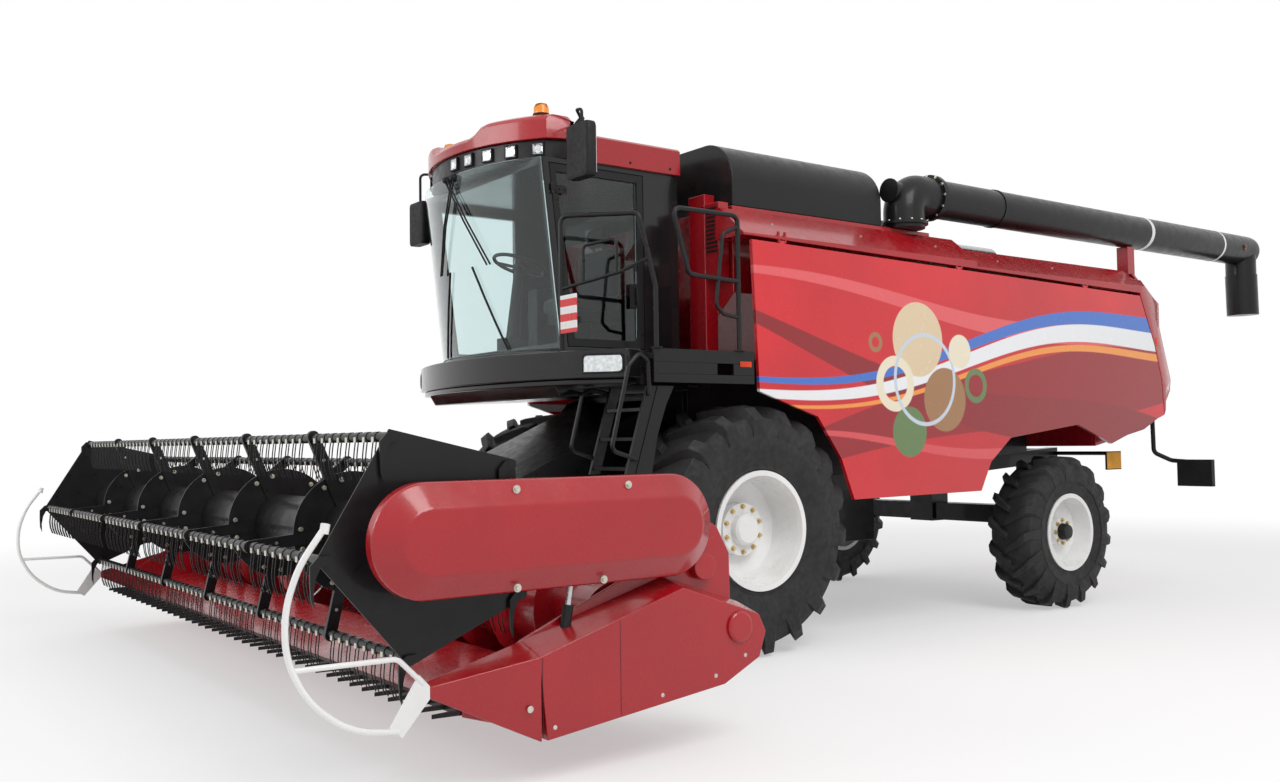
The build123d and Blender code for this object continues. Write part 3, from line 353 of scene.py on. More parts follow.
MATERIALS = {
    "red_paint": enamel("red_enamel", RED),
    # Both side-panel enamels, plain and printed, start from that brightened red: painted light
    "panel_red": enamel("panel_red_lit_enamel", LIT_PANEL_RED, dust=0.05),
    "panel_art": sweep_art("panel_art_lit_enamel", LIT_PANEL_RED, AXLE_Y),
    "stripes": warning_stripes("warning_board"),
    "black_paint": enamel("black_enamel", BLACK, roughness=0.34, coat=0.14, dust=0.03, specular=0.2),
    "gloss_black": enamel("gloss_black_enamel", BLACK, roughness=0.16, coat=0.35, dust=0.03, specular=0.25),
    "white_paint": enamel("white_enamel", (0.80, 0.80, 0.79), roughness=0.3, coat=0.4, dust=0.2),
    "black_plastic": satin("black_plastic", (0.012, 0.012, 0.013), 0.5, 700, dust=0.05, specular=0.2),
    "tyre": rubber("tyre_rubber"),
    "glass": clear("cab_glass_clear", (0.80, 0.90, 0.90)),
    "door_glass": clear("cab_glass_tinted", (0.42, 0.48, 0.47)),
    "lamp_glass": clear("lamp_lens", (0.93, 0.95, 0.95), 0.08),
    "amber": clear("amber_lens", (0.95, 0.30, 0.02), 0.15),
    "bare_steel": steel("machined_steel", (0.55, 0.55, 0.56), 0.25),
    "zinc": steel("zinc_plate", (0.62, 0.60, 0.52), 0.35),
    "gold_zinc": steel("yellow_zinc_plate", (0.62, 0.47, 0.22), 0.35),
    "amber_plate": satin("amber_enamel", (0.80, 0.36, 0.03), 0.4, 300),
    "red_lens": satin("red_reflector", (0.65, 0.05, 0.01), 0.2, 500),
    "chrome": steel("lamp_reflector", (0.85, 0.85, 0.86), 0.08),
    "seat_fabric": woven("seat_cloth", (0.03, 0.03, 0.033)),
}


# Nodes whose finish is another than their slot's own
FINISH_OF = {
    "cab_door_glass": "door_glass",
    "cab_shell": "gloss_black",
    "side_panel_left": "panel_art",
    "side_panel_right": "panel_art",
}


def dress_nodes():
    """Every CAD node shows its slot's finish until something stands for it."""
    for row in frame["record"]["subparts"]:
        mesh = NODES[row["node"]].data
        mesh.materials.clear()
        mesh.materials.append(MATERIALS[FINISH_OF.get(row["node"], row["material_slot"])])


# ---- Studio ----
SKY_STRENGTH = 0.75
HORIZON, ZENITH = (0.42, 0.42, 0.43), (1.0, 1.0, 1.0)


def add_world():
    """White wherever it is seen; as a light it is a soft sky, dimmer at the horizon."""
    f = Finish("studio", bpy.data.worlds, "ShaderNodeOutputWorld")
    bpy.context.scene.world = f.material
    height = f.add("ShaderNodeSeparateXYZ", Vector=f.whole).outputs["Z"]
    tone = f.ramp(height, (0.0, HORIZON), (0.75, ZENITH))
    sky = f.add("ShaderNodeBackground", Color=tone, Strength=SKY_STRENGTH)
    white = f.add("ShaderNodeBackground", Color=(1, 1, 1, 1), Strength=1.0)
    f.end_in_mix(f.seen(), sky, white)


LAMPS = (  # name, place, what it points at, its sides and its power in watts
    ("key", (11.0, -3.0, 11.0), (0, 0, 1.5), (7, 7), 900),
    ("fill", (-3.0, -15.0, 7.0), (0, -2, 1.2), (8, 5), 500),
)


def add_area(name, place, target, size, power):
    """A rectangular lamp."""
    data = bpy.data.lights.new(name, "AREA")
    data.shape = "RECTANGLE"
    data.size, data.size_y = size
    data.energy = power
    lamp = bpy.data.objects.new(name, data)
    bpy.context.scene.collection.objects.link(lamp)
    lamp.location = place
    lamp.rotation_euler = (Vector(target) - Vector(place)).to_track_quat("-Z", "Y").to_euler()


FLOOR_HALF = 200
FLOOR_NEAR, FLOOR_FAR = 7.5, 15.0  # where the floor starts to fade to white, and where it is white
FLOOR_GLOW = 0.45  # how much of the floor's near part is plain white


def add_floor():
    """Pale paper that takes the object's shadow and fades to white."""
    mesh = bpy.data.meshes.new("floor")
    mesh.from_pydata([(a * FLOOR_HALF, b * FLOOR_HALF, 0) for a, b in CORNERS], [], [(0, 1, 2, 3)])
    floor = bpy.data.objects.new("floor", mesh)
    bpy.context.scene.collection.objects.link(floor)
    f = Finish("studio_floor")
    paper = f.add("ShaderNodeBsdfDiffuse", Color=(0.88, 0.88, 0.88, 1))
    glow = f.add("ShaderNodeEmission", Color=(1, 1, 1, 1))
    fade = f.add(
        "ShaderNodeMapRange",
        {"interpolation_type": "SMOOTHSTEP"},
        Value=f.length(f.place),
        From_Min=FLOOR_NEAR,
        From_Max=FLOOR_FAR,
        To_Min=FLOOR_GLOW,
        To_Max=1.0,
    )
    mesh.materials.append(f.end_in_mix(f.maths("MULTIPLY", f.seen(), fade.outputs["Result"]), paper, glow))


# ---- Mesh helpers ----
SMOOTH_ANGLE = radians(32)


def at(x, y, z):
    """A point whose y is measured from the front axle."""
    return Vector((x, AXLE_Y + y, z))


def bent(points, bend, steps=6):
    """A path through points, with its corners rounded."""
    points = [Vector(point) for point in points]
    path = [points[0]]
    for before, corner, after in zip(points, points[1:], points[2:]):
        back, ahead = before - corner, after - corner
        reach = min(bend / tan(back.angle(ahead) / 2), 0.49 * back.length, 0.49 * ahead.length)
        start, end = corner + back.normalized() * reach, corner + ahead.normalized() * reach
        for step in range(steps + 1):
            t = step / steps
            path.append((1 - t) ** 2 * start + 2 * t * (1 - t) * corner + t * t * end)
    return path + [points[-1]]


def rounded(corners, bend, steps=4):
    """A closed outline with its corners rounded."""
    return bent([*corners, corners[0]], bend, steps)[1:]


def upright(spot, out, wide, high, depth=0.0):
    """The corners of an upright rectangle that faces out, given by its half width and half height."""
    across = Vector((-out.y, out.x, 0))
    return [spot + a * wide * across + b * high * UP + depth * out for a, b in CORNERS]


def circle(centre, axis, across, radius, sides):
    """Points round an axis, the first of them towards across."""
    third = axis.cross(across)
    turns = [2 * pi * k / sides for k in range(sides)]
    return [centre + radius * (cos(turn) * across + sin(turn) * third) for turn in turns]


def make_object(name, mesh, slot, body, replaced=(), finish=None):
    """Links a finished mesh as a piece that rides on a body and stands for the replaced nodes."""
    piece = bpy.data.objects.new(name, mesh)
    bpy.context.scene.collection.objects.link(piece)
    if not mesh.materials:
        mesh.materials.append(MATERIALS[finish or slot])
    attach(piece, body)
    if replaced:
        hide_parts(*replaced)
    return piece


def smooth(mesh, angle=SMOOTH_ANGLE):
    """Smooth shading with creases where faces meet more sharply than the angle."""
    mesh.shade_smooth()
    mesh.set_sharp_from_angle(angle=angle)


def body_of(node):
    """The body that carries a CAD node."""
    return next(body for body, nodes in frame["record"]["behaviour"]["bodies"].items() if node in nodes)


def slot_of(node):
    """The material slot of a CAD node."""
    return next(row["material_slot"] for row in frame["record"]["subparts"] if row["node"] == node)


def soften(piece, width, segments=2, angle=28, even=True):
    """Rounds a piece's sharp edges."""
    bevel = piece.modifiers.new("rounded_edges", "BEVEL")
    bevel.width = width
    bevel.segments = segments
    bevel.limit_method = "ANGLE"
    bevel.angle_limit = radians(angle)
    bevel.harden_normals = even
    return piece


def round_edges(node, width, segments):
    """Stands for a CAD node with the same solid whose sharp edges are rounded."""
    mesh = NODES[node].data.copy()
    for attribute in [a for a in mesh.attributes if a.name == "custom_normal"]:
        mesh.attributes.remove(attribute)
    shape = bmesh.new()
    shape.from_mesh(mesh)
    bmesh.ops.remove_doubles(shape, verts=shape.verts, dist=2e-5)
    bmesh.ops.dissolve_limit(
        shape, angle_limit=radians(0.6), verts=shape.verts, edges=shape.edges, delimit={"NORMAL"}
    )
    shape.to_mesh(mesh)
    shape.free()
    mesh.materials.clear()
    piece = make_object(f"{node}_shape", mesh, slot_of(node), body_of(node), [node], FINISH_OF.get(node))
    smooth(mesh)
    return soften(piece, width, segments)


def add_piece(name, build, slot, body="chassis", replaced=(), finishes=(), edge=0.0):
    """Makes a piece of what a Build has collected."""
    piece = make_object(name, build.mesh(name, finishes or [slot]), slot, body, replaced)
    return soften(piece, edge) if edge else piece


def add_bolts(name, build, body="chassis"):
    """Makes a piece of zinc-plated steel."""
    return add_piece(name, build, "bare_steel", body, finishes=["zinc"])


class Build:
    """Collects the points and faces of one mesh, in metres, in the row frame."""

    def __init__(self):
        self.points, self.faces, self.slots = [], [], []
        self.slot = 0

    def rings(self, rings, caps=True):
        """Skins closed rows of points that have the same count."""
        count = len(rings[0])
        base = len(self.points)
        for ring in rings:
            self.points.extend(Vector(point) for point in ring)
        for row in range(len(rings) - 1):
            low, high = base + row * count, base + (row + 1) * count
            for column in range(count):
                after = (column + 1) % count
                self.face(low + column, low + after, high + after, high + column)
        if caps:
            self.face(*reversed(range(base, base + count)))
            self.face(*range(base + (len(rings) - 1) * count, base + len(rings) * count))

    def face(self, *corners):
        self.faces.append(tuple(corners))
        self.slots.append(self.slot)

    def tube(self, path, radius, sides=10, caps=True):
        """A round tube along a path of points; radius may be one for each point."""
        path = [Vector(point) for point in path]
        radii = radius if hasattr(radius, "__len__") else [radius] * len(path)
        across = (path[1] - path[0]).orthogonal()
        rings = []
        for index, point in enumerate(path):
            before, after = path[max(index - 1, 0)], path[min(index + 1, len(path) - 1)]
            now = (after - before).normalized()
            across = (across - now * across.dot(now)).normalized()
            rings.append(circle(point, now, across, radii[index], sides))
        self.rings(rings, caps)

    def pipe(self, points, bend, radius, sides=12, side=1, steps=6):
        """A round tube through (x, y, z) points, y from the front axle, with its corners rounded."""
        path = [at(side * x, y, z) for x, y, z in points]
        self.tube(bent(path, bend, steps) if bend else path, radius, sides)

    def turned(self, centre, axis, profile, sides=48, full=True):
        """A solid of revolution; profile is (along the axis, radius) points."""
        axis = Vector(axis).normalized()
        across = axis.orthogonal().normalized()
        centre = Vector(centre)
        self.rings([circle(centre + axis * along, axis, across, r, sides) for along, r in profile], full)

    def slab(self, low, high):
        """A box between two corners."""
        x0, y0, z0 = low
        x1, y1, z1 = high
        rings = [[(x0, y0, z), (x1, y0, z), (x1, y1, z), (x0, y1, z)] for z in (z0, z1)]
        self.rings(rings)

    def block(self, low, high, side=1):
        """A box between two (x, y, z) corners, y from the front axle; side -1 mirrors it."""
        self.slab(*[at(side * x, y, z) for x, y, z in (low, high)])

    def prism(self, axis, outline, low, high, far=None):
        """An outline pushed along an axis: (y, z) points along x, (x, z) along y, (x, y) along z."""
        place = "xyz".index(axis)
        rings = []
        for level, points in ((low, outline), (high, far or outline)):
            rings.append([at(*point[:place], level, *point[place:]) for point in points])
        self.rings(rings)

    def bolt(self, place, axis, radius, height):
        """A bolt's washer and head on a face."""
        washer, thick = radius * 1.5, height * 0.25
        self.turned(place, axis, [(0, washer), (thick, washer), (thick, radius), (height, radius * 0.92)], 12)

    def mesh(self, name, finishes=()):
        mesh = bpy.data.meshes.new(name)
        mesh.from_pydata([tuple(point) for point in self.points], [], self.faces)
        for finish in finishes:
            mesh.materials.append(MATERIALS[finish])
        if len(finishes) > 1:
            mesh.polygons.foreach_set("material_index", self.slots)
        shape = bmesh.new()
        shape.from_mesh(mesh)
        bmesh.ops.recalc_face_normals(shape, faces=shape.faces)
        shape.to_mesh(mesh)
        shape.free()
        smooth(mesh)
        return mesh


# ---- Wheels ----
TREADS = {  # lugs on each half of the tread, their height and width in metres, the rim's bolts and its cap
    "front": {
        "lugs": 18, "height": 0.052, "width": 0.074, "bolts": 10, "bolt_circle": 0.165, "cap": "white_paint"
    },
    "rear": {
        "lugs": 17, "height": 0.040, "width": 0.054, "bolts": 8, "bolt_circle": 0.105, "cap": "black_paint"
    },
}
LUG_STEPS = 7
LUG_INNER, LUG_OUTER = -0.035, 0.49  # where a lug starts and ends, as shares of the tyre's width
LUG_SWEEP = 0.34  # how far round it runs meanwhile, as a share of the width
LUG_SUNK = 0.012
SHOULDER_START, SHOULDER_DROP = 0.8, 0.105  # share of the lug where it turns down, and how far
RIM_DISC_OUT = 0.12  # from the wheel's middle to the face of its disc


def carcass_profile(radius, width, rim_radius, height):
    """(across, radius) points of half a tyre's outside, from the tread's middle to the bead."""
    crown = radius - height
    return [
        (0.00, crown),
        (0.18 * width, crown - 0.004),
        (0.34 * width, crown - 0.016),
        (0.425 * width, crown - 0.045),
        (0.468 * width, crown - 0.105),
        (0.492 * width, crown - 0.19),
        (0.495 * width, (crown + rim_radius) / 2 - 0.02),
        (0.478 * width, rim_radius + 0.105),
        (0.452 * width, rim_radius + 0.055),
        (0.444 * width, rim_radius + 0.030),
        (0.452 * width, rim_radius + 0.014),
        (0.440 * width, rim_radius + 0.001),
    ]


def carcass_radius(profile, across):
    """The carcass's radius at a distance across from the tread's middle."""
    across = abs(across)
    for (x0, r0), (x1, r1) in zip(profile, profile[1:]):
        if x1 > x0 and across <= x1:
            return r0 + (r1 - r0) * max(0, across - x0) / (x1 - x0)
    return profile[5][1]


def make_tyre(axle, word):
    """Rounded carcass with a chevron of curved, tapering lugs that run over the shoulder."""
    node = f"{axle}_tyre_{word}"
    tread = TREADS[axle]
    low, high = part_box(node)
    hub = pivot(f"{axle}_wheel_{word}_spin")
    width = high.x - low.x
    radius = min(high.z - hub.z, hub.z - low.z)
    rim_low, rim_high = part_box(f"{axle}_rim_{word}")
    rim_radius = (rim_high.z - rim_low.z) / 2
    profile = carcass_profile(radius, width, rim_radius, tread["height"])
    build = Build()
    outside = [(-x, r) for x, r in reversed(profile)] + profile[1:]
    inside = [(x * 0.86, r - 0.01) for x, r in reversed(outside[:1] + outside[-1:])]
    build.turned(hub, (1, 0, 0), outside + inside + outside[:1], sides=96, full=False)
    for half in (-1, 1):
        for count in range(tread["lugs"]):
            phase = 2 * pi * (count + (0.5 if half > 0 else 0)) / tread["lugs"]
            rings = []
            for step in range(LUG_STEPS + 1):
                t = step / LUG_STEPS
                across = width * (LUG_INNER + (LUG_OUTER - LUG_INNER) * t)
                sweep = width * LUG_SWEEP * (t**1.15 - 0.5) / radius
                base = carcass_radius(profile, across) - LUG_SUNK
                over = max(0, t - SHOULDER_START) / (1 - SHOULDER_START)
                top = radius - 0.001 - SHOULDER_DROP * over**1.4
                top = sqrt(max(top * top - (tread["width"] / 2) ** 2, 0))
                wide = tread["width"] * (0.82 + 0.5 * t)
                ring = []
                for side, level, spread in ((-1, base, 1.5), (-1, top, 0.95), (1, top, 0.95), (1, base, 1.5)):
                    turn = phase + sweep + side * wide * spread / 2 / level
                    ring.append(hub + Vector((half * across, sin(turn) * level, cos(turn) * level)))
                rings.append(ring)
            build.rings(rings)
    mesh = build.mesh(node + "_rubber")
    piece = make_object(node + "_rubber", mesh, "tyre", f"{axle}_wheel_{word}", [node])
    return soften(piece, 0.004, 1, 40, even=False)


def make_wheel_trim(axle, word, side):
    """Nuts and a hub cap on the rim's disc."""
    tread = TREADS[axle]
    body = f"{axle}_wheel_{word}"
    face = pivot(f"{body}_spin") + Vector((side * RIM_DISC_OUT, 0, 0))
    out = Vector((side, 0, 0))
    nuts, cap = Build(), Build()
    for spot in circle(face, Vector((-1, 0, 0)), UP, tread["bolt_circle"], tread["bolts"]):
        nuts.bolt(spot, out, 0.013, 0.022)
    add_piece(f"{axle}_nuts_{word}", nuts, "white_paint", body, finishes=["gold_zinc"])
    radius = tread["bolt_circle"] * 0.72
    cap.turned(face, out, [(-0.01, radius), (0.05, radius * 0.95), (0.07, radius * 0.8), (0.075, 0.02)], 40)
    add_piece(f"{axle}_hub_cap_{word}", cap, "white_paint", body, finishes=[tread["cap"]], edge=0.002)


def make_wheels():
    for axle in ("front", "rear"):
        for side, word in SIDES:
            make_tyre(axle, word)
            make_wheel_trim(axle, word, side)


# ---- Cab: roof, visor, lamps, front, inside ----
ROOF_HALF, ROOF_LOW, ROOF_EAVE = 0.93, 3.56, 3.745
CAP_FRONT, CAP_WING, CAP_LOW = -1.655, [(0.88, -1.345), (0.932, -1.2)], 3.70
VISOR_FRONT, VISOR_WING = -1.63, [(0.84, -1.33), (0.90, -1.185)]
VISOR_LAMPS = (-0.80, -0.64, 0.06, 0.24, 0.43, 0.62, 0.80)
# Half size and depth of the rings of a lamp: frame (3), bowl and lens (2)
WORK_LAMP = ((0.048, 0.0), (0.048, 0.016), (0.039, 0.016), (0.026, 0.002), (0.039, 0.013), (0.039, 0.0155))
BEACONS_X, BEACON_FOOT = (-0.70, 0.70), 3.872


def bow_radius(half, depth):
    """The radius of a bow of this half width and depth."""
    return (depth**2 + half**2) / (2 * depth)


def bowed(wing, front, steps=16):
    """(x, y) points of a level outline with a bowed front; wing is its left side, from the bow back."""
    x_wing, y_wing = wing[0]
    curve = bow_radius(x_wing, y_wing - front)
    bow = []
    for step in range(1, steps):
        x = x_wing * (1 - 2 * step / steps)
        bow.append((x, front + curve - sqrt(curve**2 - x**2)))
    return [*reversed(wing), *bow, *[(-x, y) for x, y in wing]]


def add_lamp(lamps, lenses, rings, closed):
    """A lamp's frame, its bright bowl and its lens, from six rings."""
    rim, rim_front, mouth, bowl, lens, lens_front = rings
    lamps.slot = 0
    lamps.rings([rim, rim_front, mouth], caps=False)
    lamps.slot = 1
    lamps.rings([mouth, bowl], caps=closed)
    lenses.rings([lens, lens_front])


def make_roof():
    """Red roof band, the cap with its two lobes in front of it, and seams and bolts."""
    build, trim = Build(), Build()
    edge = [(-ROOF_HALF, CAP_LOW), (-ROOF_HALF, ROOF_LOW), (ROOF_HALF, ROOF_LOW), (ROOF_HALF, CAP_LOW)]
    crown = [(x / 10, 3.8 - 0.035 * (x / 9.05) ** 2) for x in (9.05, 7, 5, 3, 1, -1, -3, -5, -7, -9.05)]
    build.prism("y", [*edge, (ROOF_HALF, ROOF_EAVE), *crown, (-ROOF_HALF, ROOF_EAVE)], -1.18, -0.18)
    rings = []
    for x, y in bowed(CAP_WING, CAP_FRONT, 28):
        lobe = min(1, max(0, (abs(x) - 0.26) / 0.16))
        fall = min(1, max(0, (abs(x) - 0.86) / 0.072))
        top = 3.805 + 0.075 * (3 - 2 * lobe) * lobe**2 - 0.05 * fall**2
        nose = [(y, CAP_LOW), (y, top - 0.045), (y + 0.02, top - 0.018), (y + 0.06, top)]
        rear = [(-1.16, top), (-1.08, top - 0.09), (-1.08, CAP_LOW)]
        rings.append([at(x, *point) for point in nose + rear])
    build.rings(rings)
    add_piece("roof_cap", build, "red_paint", replaced=["cab_roof"], edge=0.006)
    for side in (1, -1):
        x = side * ROOF_HALF
        trim.block((x - 0.0015, -1.082, 3.565), (x + 0.0015, -1.078, ROOF_EAVE))
        for y in (-1.02, -0.65, -0.28):
            trim.bolt(at(x, y, 3.60), (side, 0, 0), 0.007, 0.008)
    add_piece("roof_seams", trim, "black_paint")


def make_visor():
    """Black visor under the roof's cap, with square work lamps let into its bow."""
    visor, lamps, lenses = Build(), Build(), Build()
    visor.prism("z", bowed(VISOR_WING, VISOR_FRONT), 3.562, CAP_LOW)
    add_piece("visor", visor, "black_paint", edge=0.008)
    half, rear = VISOR_WING[0]
    curve = bow_radius(half, rear - VISOR_FRONT)
    for x in VISOR_LAMPS:
        out = Vector((x / curve, -sqrt(1 - (x / curve) ** 2), 0))
        spot = at(x, VISOR_FRONT + curve * (1 + out.y), 3.632)
        rings = [upright(spot, out, size, size, depth) for size, depth in WORK_LAMP]
        add_lamp(lamps, lenses, rings, closed=False)
        lamps.turned(spot, out, [(-0.001, 0.0), (0.004, 0.03), (0.0045, 0.0)], 12, full=False)
    add_piece("visor_lamps", lamps, "black_plastic", finishes=["black_plastic", "chrome"])
    add_piece("visor_lenses", lenses, "lamp_glass")


def make_beacons():
    """Amber domes on dark feet."""
    feet, domes = Build(), Build()
    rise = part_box("beacons")[1].z - BEACON_FOOT - 0.002
    for x in BEACONS_X:
        spot = at(x, -1.27, BEACON_FOOT)
        feet.turned(spot, UP, [(0, 0.074), (0.022, 0.074), (0.03, 0.062), (0.045, 0.062)], 32)
        domes.turned(spot, UP, [(0.045, 0.057), (rise * 0.7, 0.055), (rise * 0.92, 0.043), (rise, 0.016)], 32)
    add_piece("beacon_feet", feet, "black_plastic")
    add_piece("beacon_domes", domes, "amber", replaced=["beacons"])


# Front of the cab: (x, y) of each tier's left side, its front, its heights
FASCIA = [
    ([(1.15, -1.29), (1.39, -1.075), (1.39, -0.96)], -1.53, (1.945, 1.985)),
    ([(1.20, -1.30), (1.45, -1.08), (1.45, -0.96)], -1.56, (1.985, 2.185)),
    ([(0.86, -1.26), (0.90, -1.20), (0.90, -0.96)], -1.50, (2.185, 2.21)),
]
# Half width, half height and depth of the rings of a headlamp: frame (3), bowl and lens (2)
HEADLAMP = (
    (0.145, 0.068, -0.01), (0.145, 0.068, 0.012), (0.134, 0.057, 0.012),
    (0.120, 0.045, 0.002), (0.135, 0.058, 0.0125), (0.130, 0.053, 0.018),
)
HEADLAMP_AT = (1.325, -1.19, 2.085)
HEADLAMP_OUT = Vector((0.6607, -0.7507, 0))


def make_fascia():
    """Gloss black front in tiers, with a headlamp behind a clear lens on each corner."""
    build, lamps, lenses = Build(), Build(), Build()
    for wing, front, (low, high) in FASCIA:
        build.prism("z", bowed(wing, front, 24), low, high)
    build.prism("z", [(-0.9, -0.965), (0.9, -0.965), (0.9, -0.001), (-0.9, -0.001)], 1.96, 2.10)
    under = [(-1.35, 1.95), (-1.30, 1.87), (-0.5, 1.90), (-0.15, 1.93), (-0.15, 1.97), (-1.35, 1.97)]
    build.prism("x", under, -0.95, 0.95)
    gloss = ["gloss_black"]
    add_piece("fascia_shape", build, "black_plastic", replaced=["cab_fascia"], finishes=gloss, edge=0.012)
    for side in (1, -1):
        x, y, z = HEADLAMP_AT
        spot = at(side * x, y, z)
        out = Vector((side * HEADLAMP_OUT.x, HEADLAMP_OUT.y, 0))
        across = Vector((-out.y, out.x, 0))
        rings = [rounded(upright(spot, out, *ring), 0.03) for ring in HEADLAMP]
        add_lamp(lamps, lenses, rings, closed=True)
        for place, radius in ((-0.065, 0.044), (0.055, 0.038)):
            eye = spot + place * across + 0.001 * out
            dish = [(0.0, radius), (0.009, radius), (0.003, radius * 0.55), (0.010, 0.004)]
            lamps.turned(eye, out, dish, 24)
    add_piece("headlamps", lamps, "black_plastic", finishes=["black_plastic", "chrome"])
    add_piece("headlamp_lenses", lenses, "lamp_glass", replaced=["lamps"])


WIPERS = ((-0.05, 0.42), (0.06, -0.40))  # x of the pivot and the blade's sideways reach
HANDLE_Y, HANDLE_Z = -0.60, 2.62
DOOR_HINGES_Z = (2.42, 3.34)


def screen_front(z):
    """y of the windscreen's ends, which lean forward as they rise."""
    return -1.24 - (z - 2.2) * 0.114


def screen_point(x, z, gap=0.012):
    """A point just in front of the windscreen."""
    return at(x, screen_front(z) - 0.008 - 0.23 * (1 - (x / 0.89) ** 2) - gap, z)


def make_cab_trim():
    """Wipers, door handle and the plates of the door's hinges."""
    wipers, handle, plates = Build(), Build(), Build()
    for x, reach in WIPERS:
        for shift in (0, 0.035):
            arm = ((0, 3.53, 0.03), (0.5, 3.2, 0.035), (1, 2.85, 0.03))
            wipers.tube([screen_point(x + reach * share + shift, z, gap) for share, z, gap in arm], 0.007, 6)
        shares = (0.55, 0.8, 1.0, 1.25)
        wipers.tube([screen_point(x + reach * share, 3.35 - share * 0.9, 0.016) for share in shares], 0.009, 6)
        wipers.turned(screen_point(x, 3.53, 0.0), (0, -1, 0), [(0, 0.03), (0.03, 0.026), (0.045, 0.016)], 16)
    add_piece("wipers", wipers, "black_plastic")
    handle.prism("x", [(HANDLE_Y + a * 0.05, HANDLE_Z + b * 0.09) for a, b in CORNERS], 0.9, 0.906)
    grip = ((0.904, -0.06), (0.924, -0.05), (0.924, 0.05), (0.904, 0.06))
    handle.pipe([(x, HANDLE_Y, HANDLE_Z + rise) for x, rise in grip], 0.015, 0.008, 8)
    add_piece("door_handle", handle, "black_plastic", "cab_door", edge=0.002)
    for z in DOOR_HINGES_Z:
        y = screen_front(z) + 0.13
        ring = rounded(upright(at(0.9001, y + 0.005, z), Vector((1, 0, 0)), 0.045, 0.03), 0.028, 5)
        plates.rings([ring, [point + Vector((0.006, 0, 0)) for point in ring]])
        for shift in (-0.012, 0.03):
            plates.bolt(at(0.906, y + shift, z), (1, 0, 0), 0.008, 0.007)
    add_piece("door_hinge_plates", plates, "black_paint", "cab_door")


SEAT_PADS = (  # name, low and high corner, and the rounding of the edges
    ("seat_cushion", (-0.25, -0.70, 2.58), (0.25, -0.26, 2.71), 0.05),
    ("seat_back", (-0.24, -0.36, 2.70), (0.24, -0.25, 3.10), 0.045),
    ("head_rest", (-0.13, -0.34, 3.13), (0.13, -0.26, 3.29), 0.035),
)
CAB_FLOOR = 2.261
STEERING_AT, STEERING_TILT, STEERING_RADIUS = (0, -1.05, 2.93), Vector((0, 0.35, 1)), 0.2


def make_cab_inside():
    """Padded seat with its base and a console, and a steering wheel with a round rim."""
    for name, low, high, edge in SEAT_PADS:
        pad = Build()
        pad.block(low, high)
        add_piece(name, pad, "seat_fabric", edge=edge)
    base, wheel = Build(), Build()
    base.block((-0.22, -0.66, 2.50), (0.22, -0.26, 2.585))
    base.turned(at(0, -0.48, CAB_FLOOR), UP, [(0, 0.16), (0.05, 0.15), (0.07, 0.09), (0.24, 0.085)], 24)
    for x in (-0.07, 0.07):
        base.tube([at(x, -0.30, 3.08), at(x, -0.30, 3.16)], 0.008, 8)
    base.block((-0.42, -0.72, CAB_FLOOR), (-0.28, -0.28, 2.80))
    add_piece("seat_base", base, "black_plastic", replaced=["seat"], edge=0.01)
    spot, axis = at(*STEERING_AT), STEERING_TILT.normalized()
    across = Vector((1, 0, 0))
    rim = circle(spot, axis, across, STEERING_RADIUS, 40)
    wheel.tube([*rim, rim[0]], 0.014, 10, caps=False)
    for end in circle(spot, axis, across, STEERING_RADIUS - 0.005, 12)[3::4]:
        wheel.tube([spot - 0.02 * axis, end], 0.012, 8)
    wheel.turned(spot - 0.05 * axis, axis, [(0, 0.04), (0.04, 0.045), (0.05, 0.03)], 20)
    wheel.tube([at(0, -1.12, 2.262), at(0, -1.052, 2.92)], [0.06, 0.035], 12)
    wheel.block((-0.09, -1.20, 2.262), (0.09, -1.04, 2.36))
    add_piece("steering_wheel", wheel, "black_plastic", replaced=["steering_column"])


# ---- Platform, ladder, rails and mirrors ----
GUARD_RAILS = [  # the bend, the tube's radius and its (x, y, z) corners
    (0.06, 0.017, [
        (1.03, -1.33, 2.186), (1.03, -1.33, 3.12), (1.545, -1.04, 3.09), (1.58, -0.93, 2.60),
        (1.58, -0.93, 2.18),
    ]),
    (0.03, 0.012, [(1.03, -1.33, 2.61), (1.15, -1.262, 2.64), (1.42, -1.11, 2.70), (1.568, -0.972, 2.79)]),
    (0.04, 0.012, [(1.18, -1.246, 2.646), (1.18, -1.246, 2.90), (1.40, -1.122, 2.93), (1.40, -1.122, 2.70)]),
    (0.06, 0.017, [
        (1.58, -0.19, 2.18), (1.58, -0.19, 3.15), (1.58, -0.78, 3.15), (1.58, -0.64, 2.70),
        (1.58, -0.19, 2.68),
    ]),
    (0.05, 0.014, [
        (1.58, -0.19, 3.07), (1.58, -0.33, 3.01), (1.58, -0.40, 2.50), (1.58, -0.33, 2.44),
        (1.58, -0.19, 2.42),
    ]),
]
LADDER_LOOPS = [  # x of each loop and its (y, z) corners
    (1.08, [(-1.09, 1.435), (-1.30, 1.50), (-1.20, 1.88), (-1.13, 1.915), (-0.97, 1.89)]),
    (1.562, [(-1.09, 1.435), (-1.30, 1.50), (-1.15, 2.06), (-1.06, 2.15), (-0.99, 2.09), (-0.98, 1.87)]),
]
RAIL_FEET = ((1.03, -1.33), (1.58, -0.93), (1.58, -0.19))
DECK_TOP = 2.18
SKIRT_PARTS = (  # low and high (y, z) of each part of the platform's skirt, round its hole
    ((-0.96, 1.95), (-0.06, 2.01)),
    ((-0.96, 2.09), (-0.06, 2.18)),
    ((-0.96, 2.01), (-0.405, 2.09)),
    ((-0.255, 2.01), (-0.06, 2.09)),
)
STRINGERS_X, STRINGER = (1.11, 1.53), [(-0.985, 1.93), (-0.90, 1.93), (-1.085, 1.331), (-1.17, 1.331)]
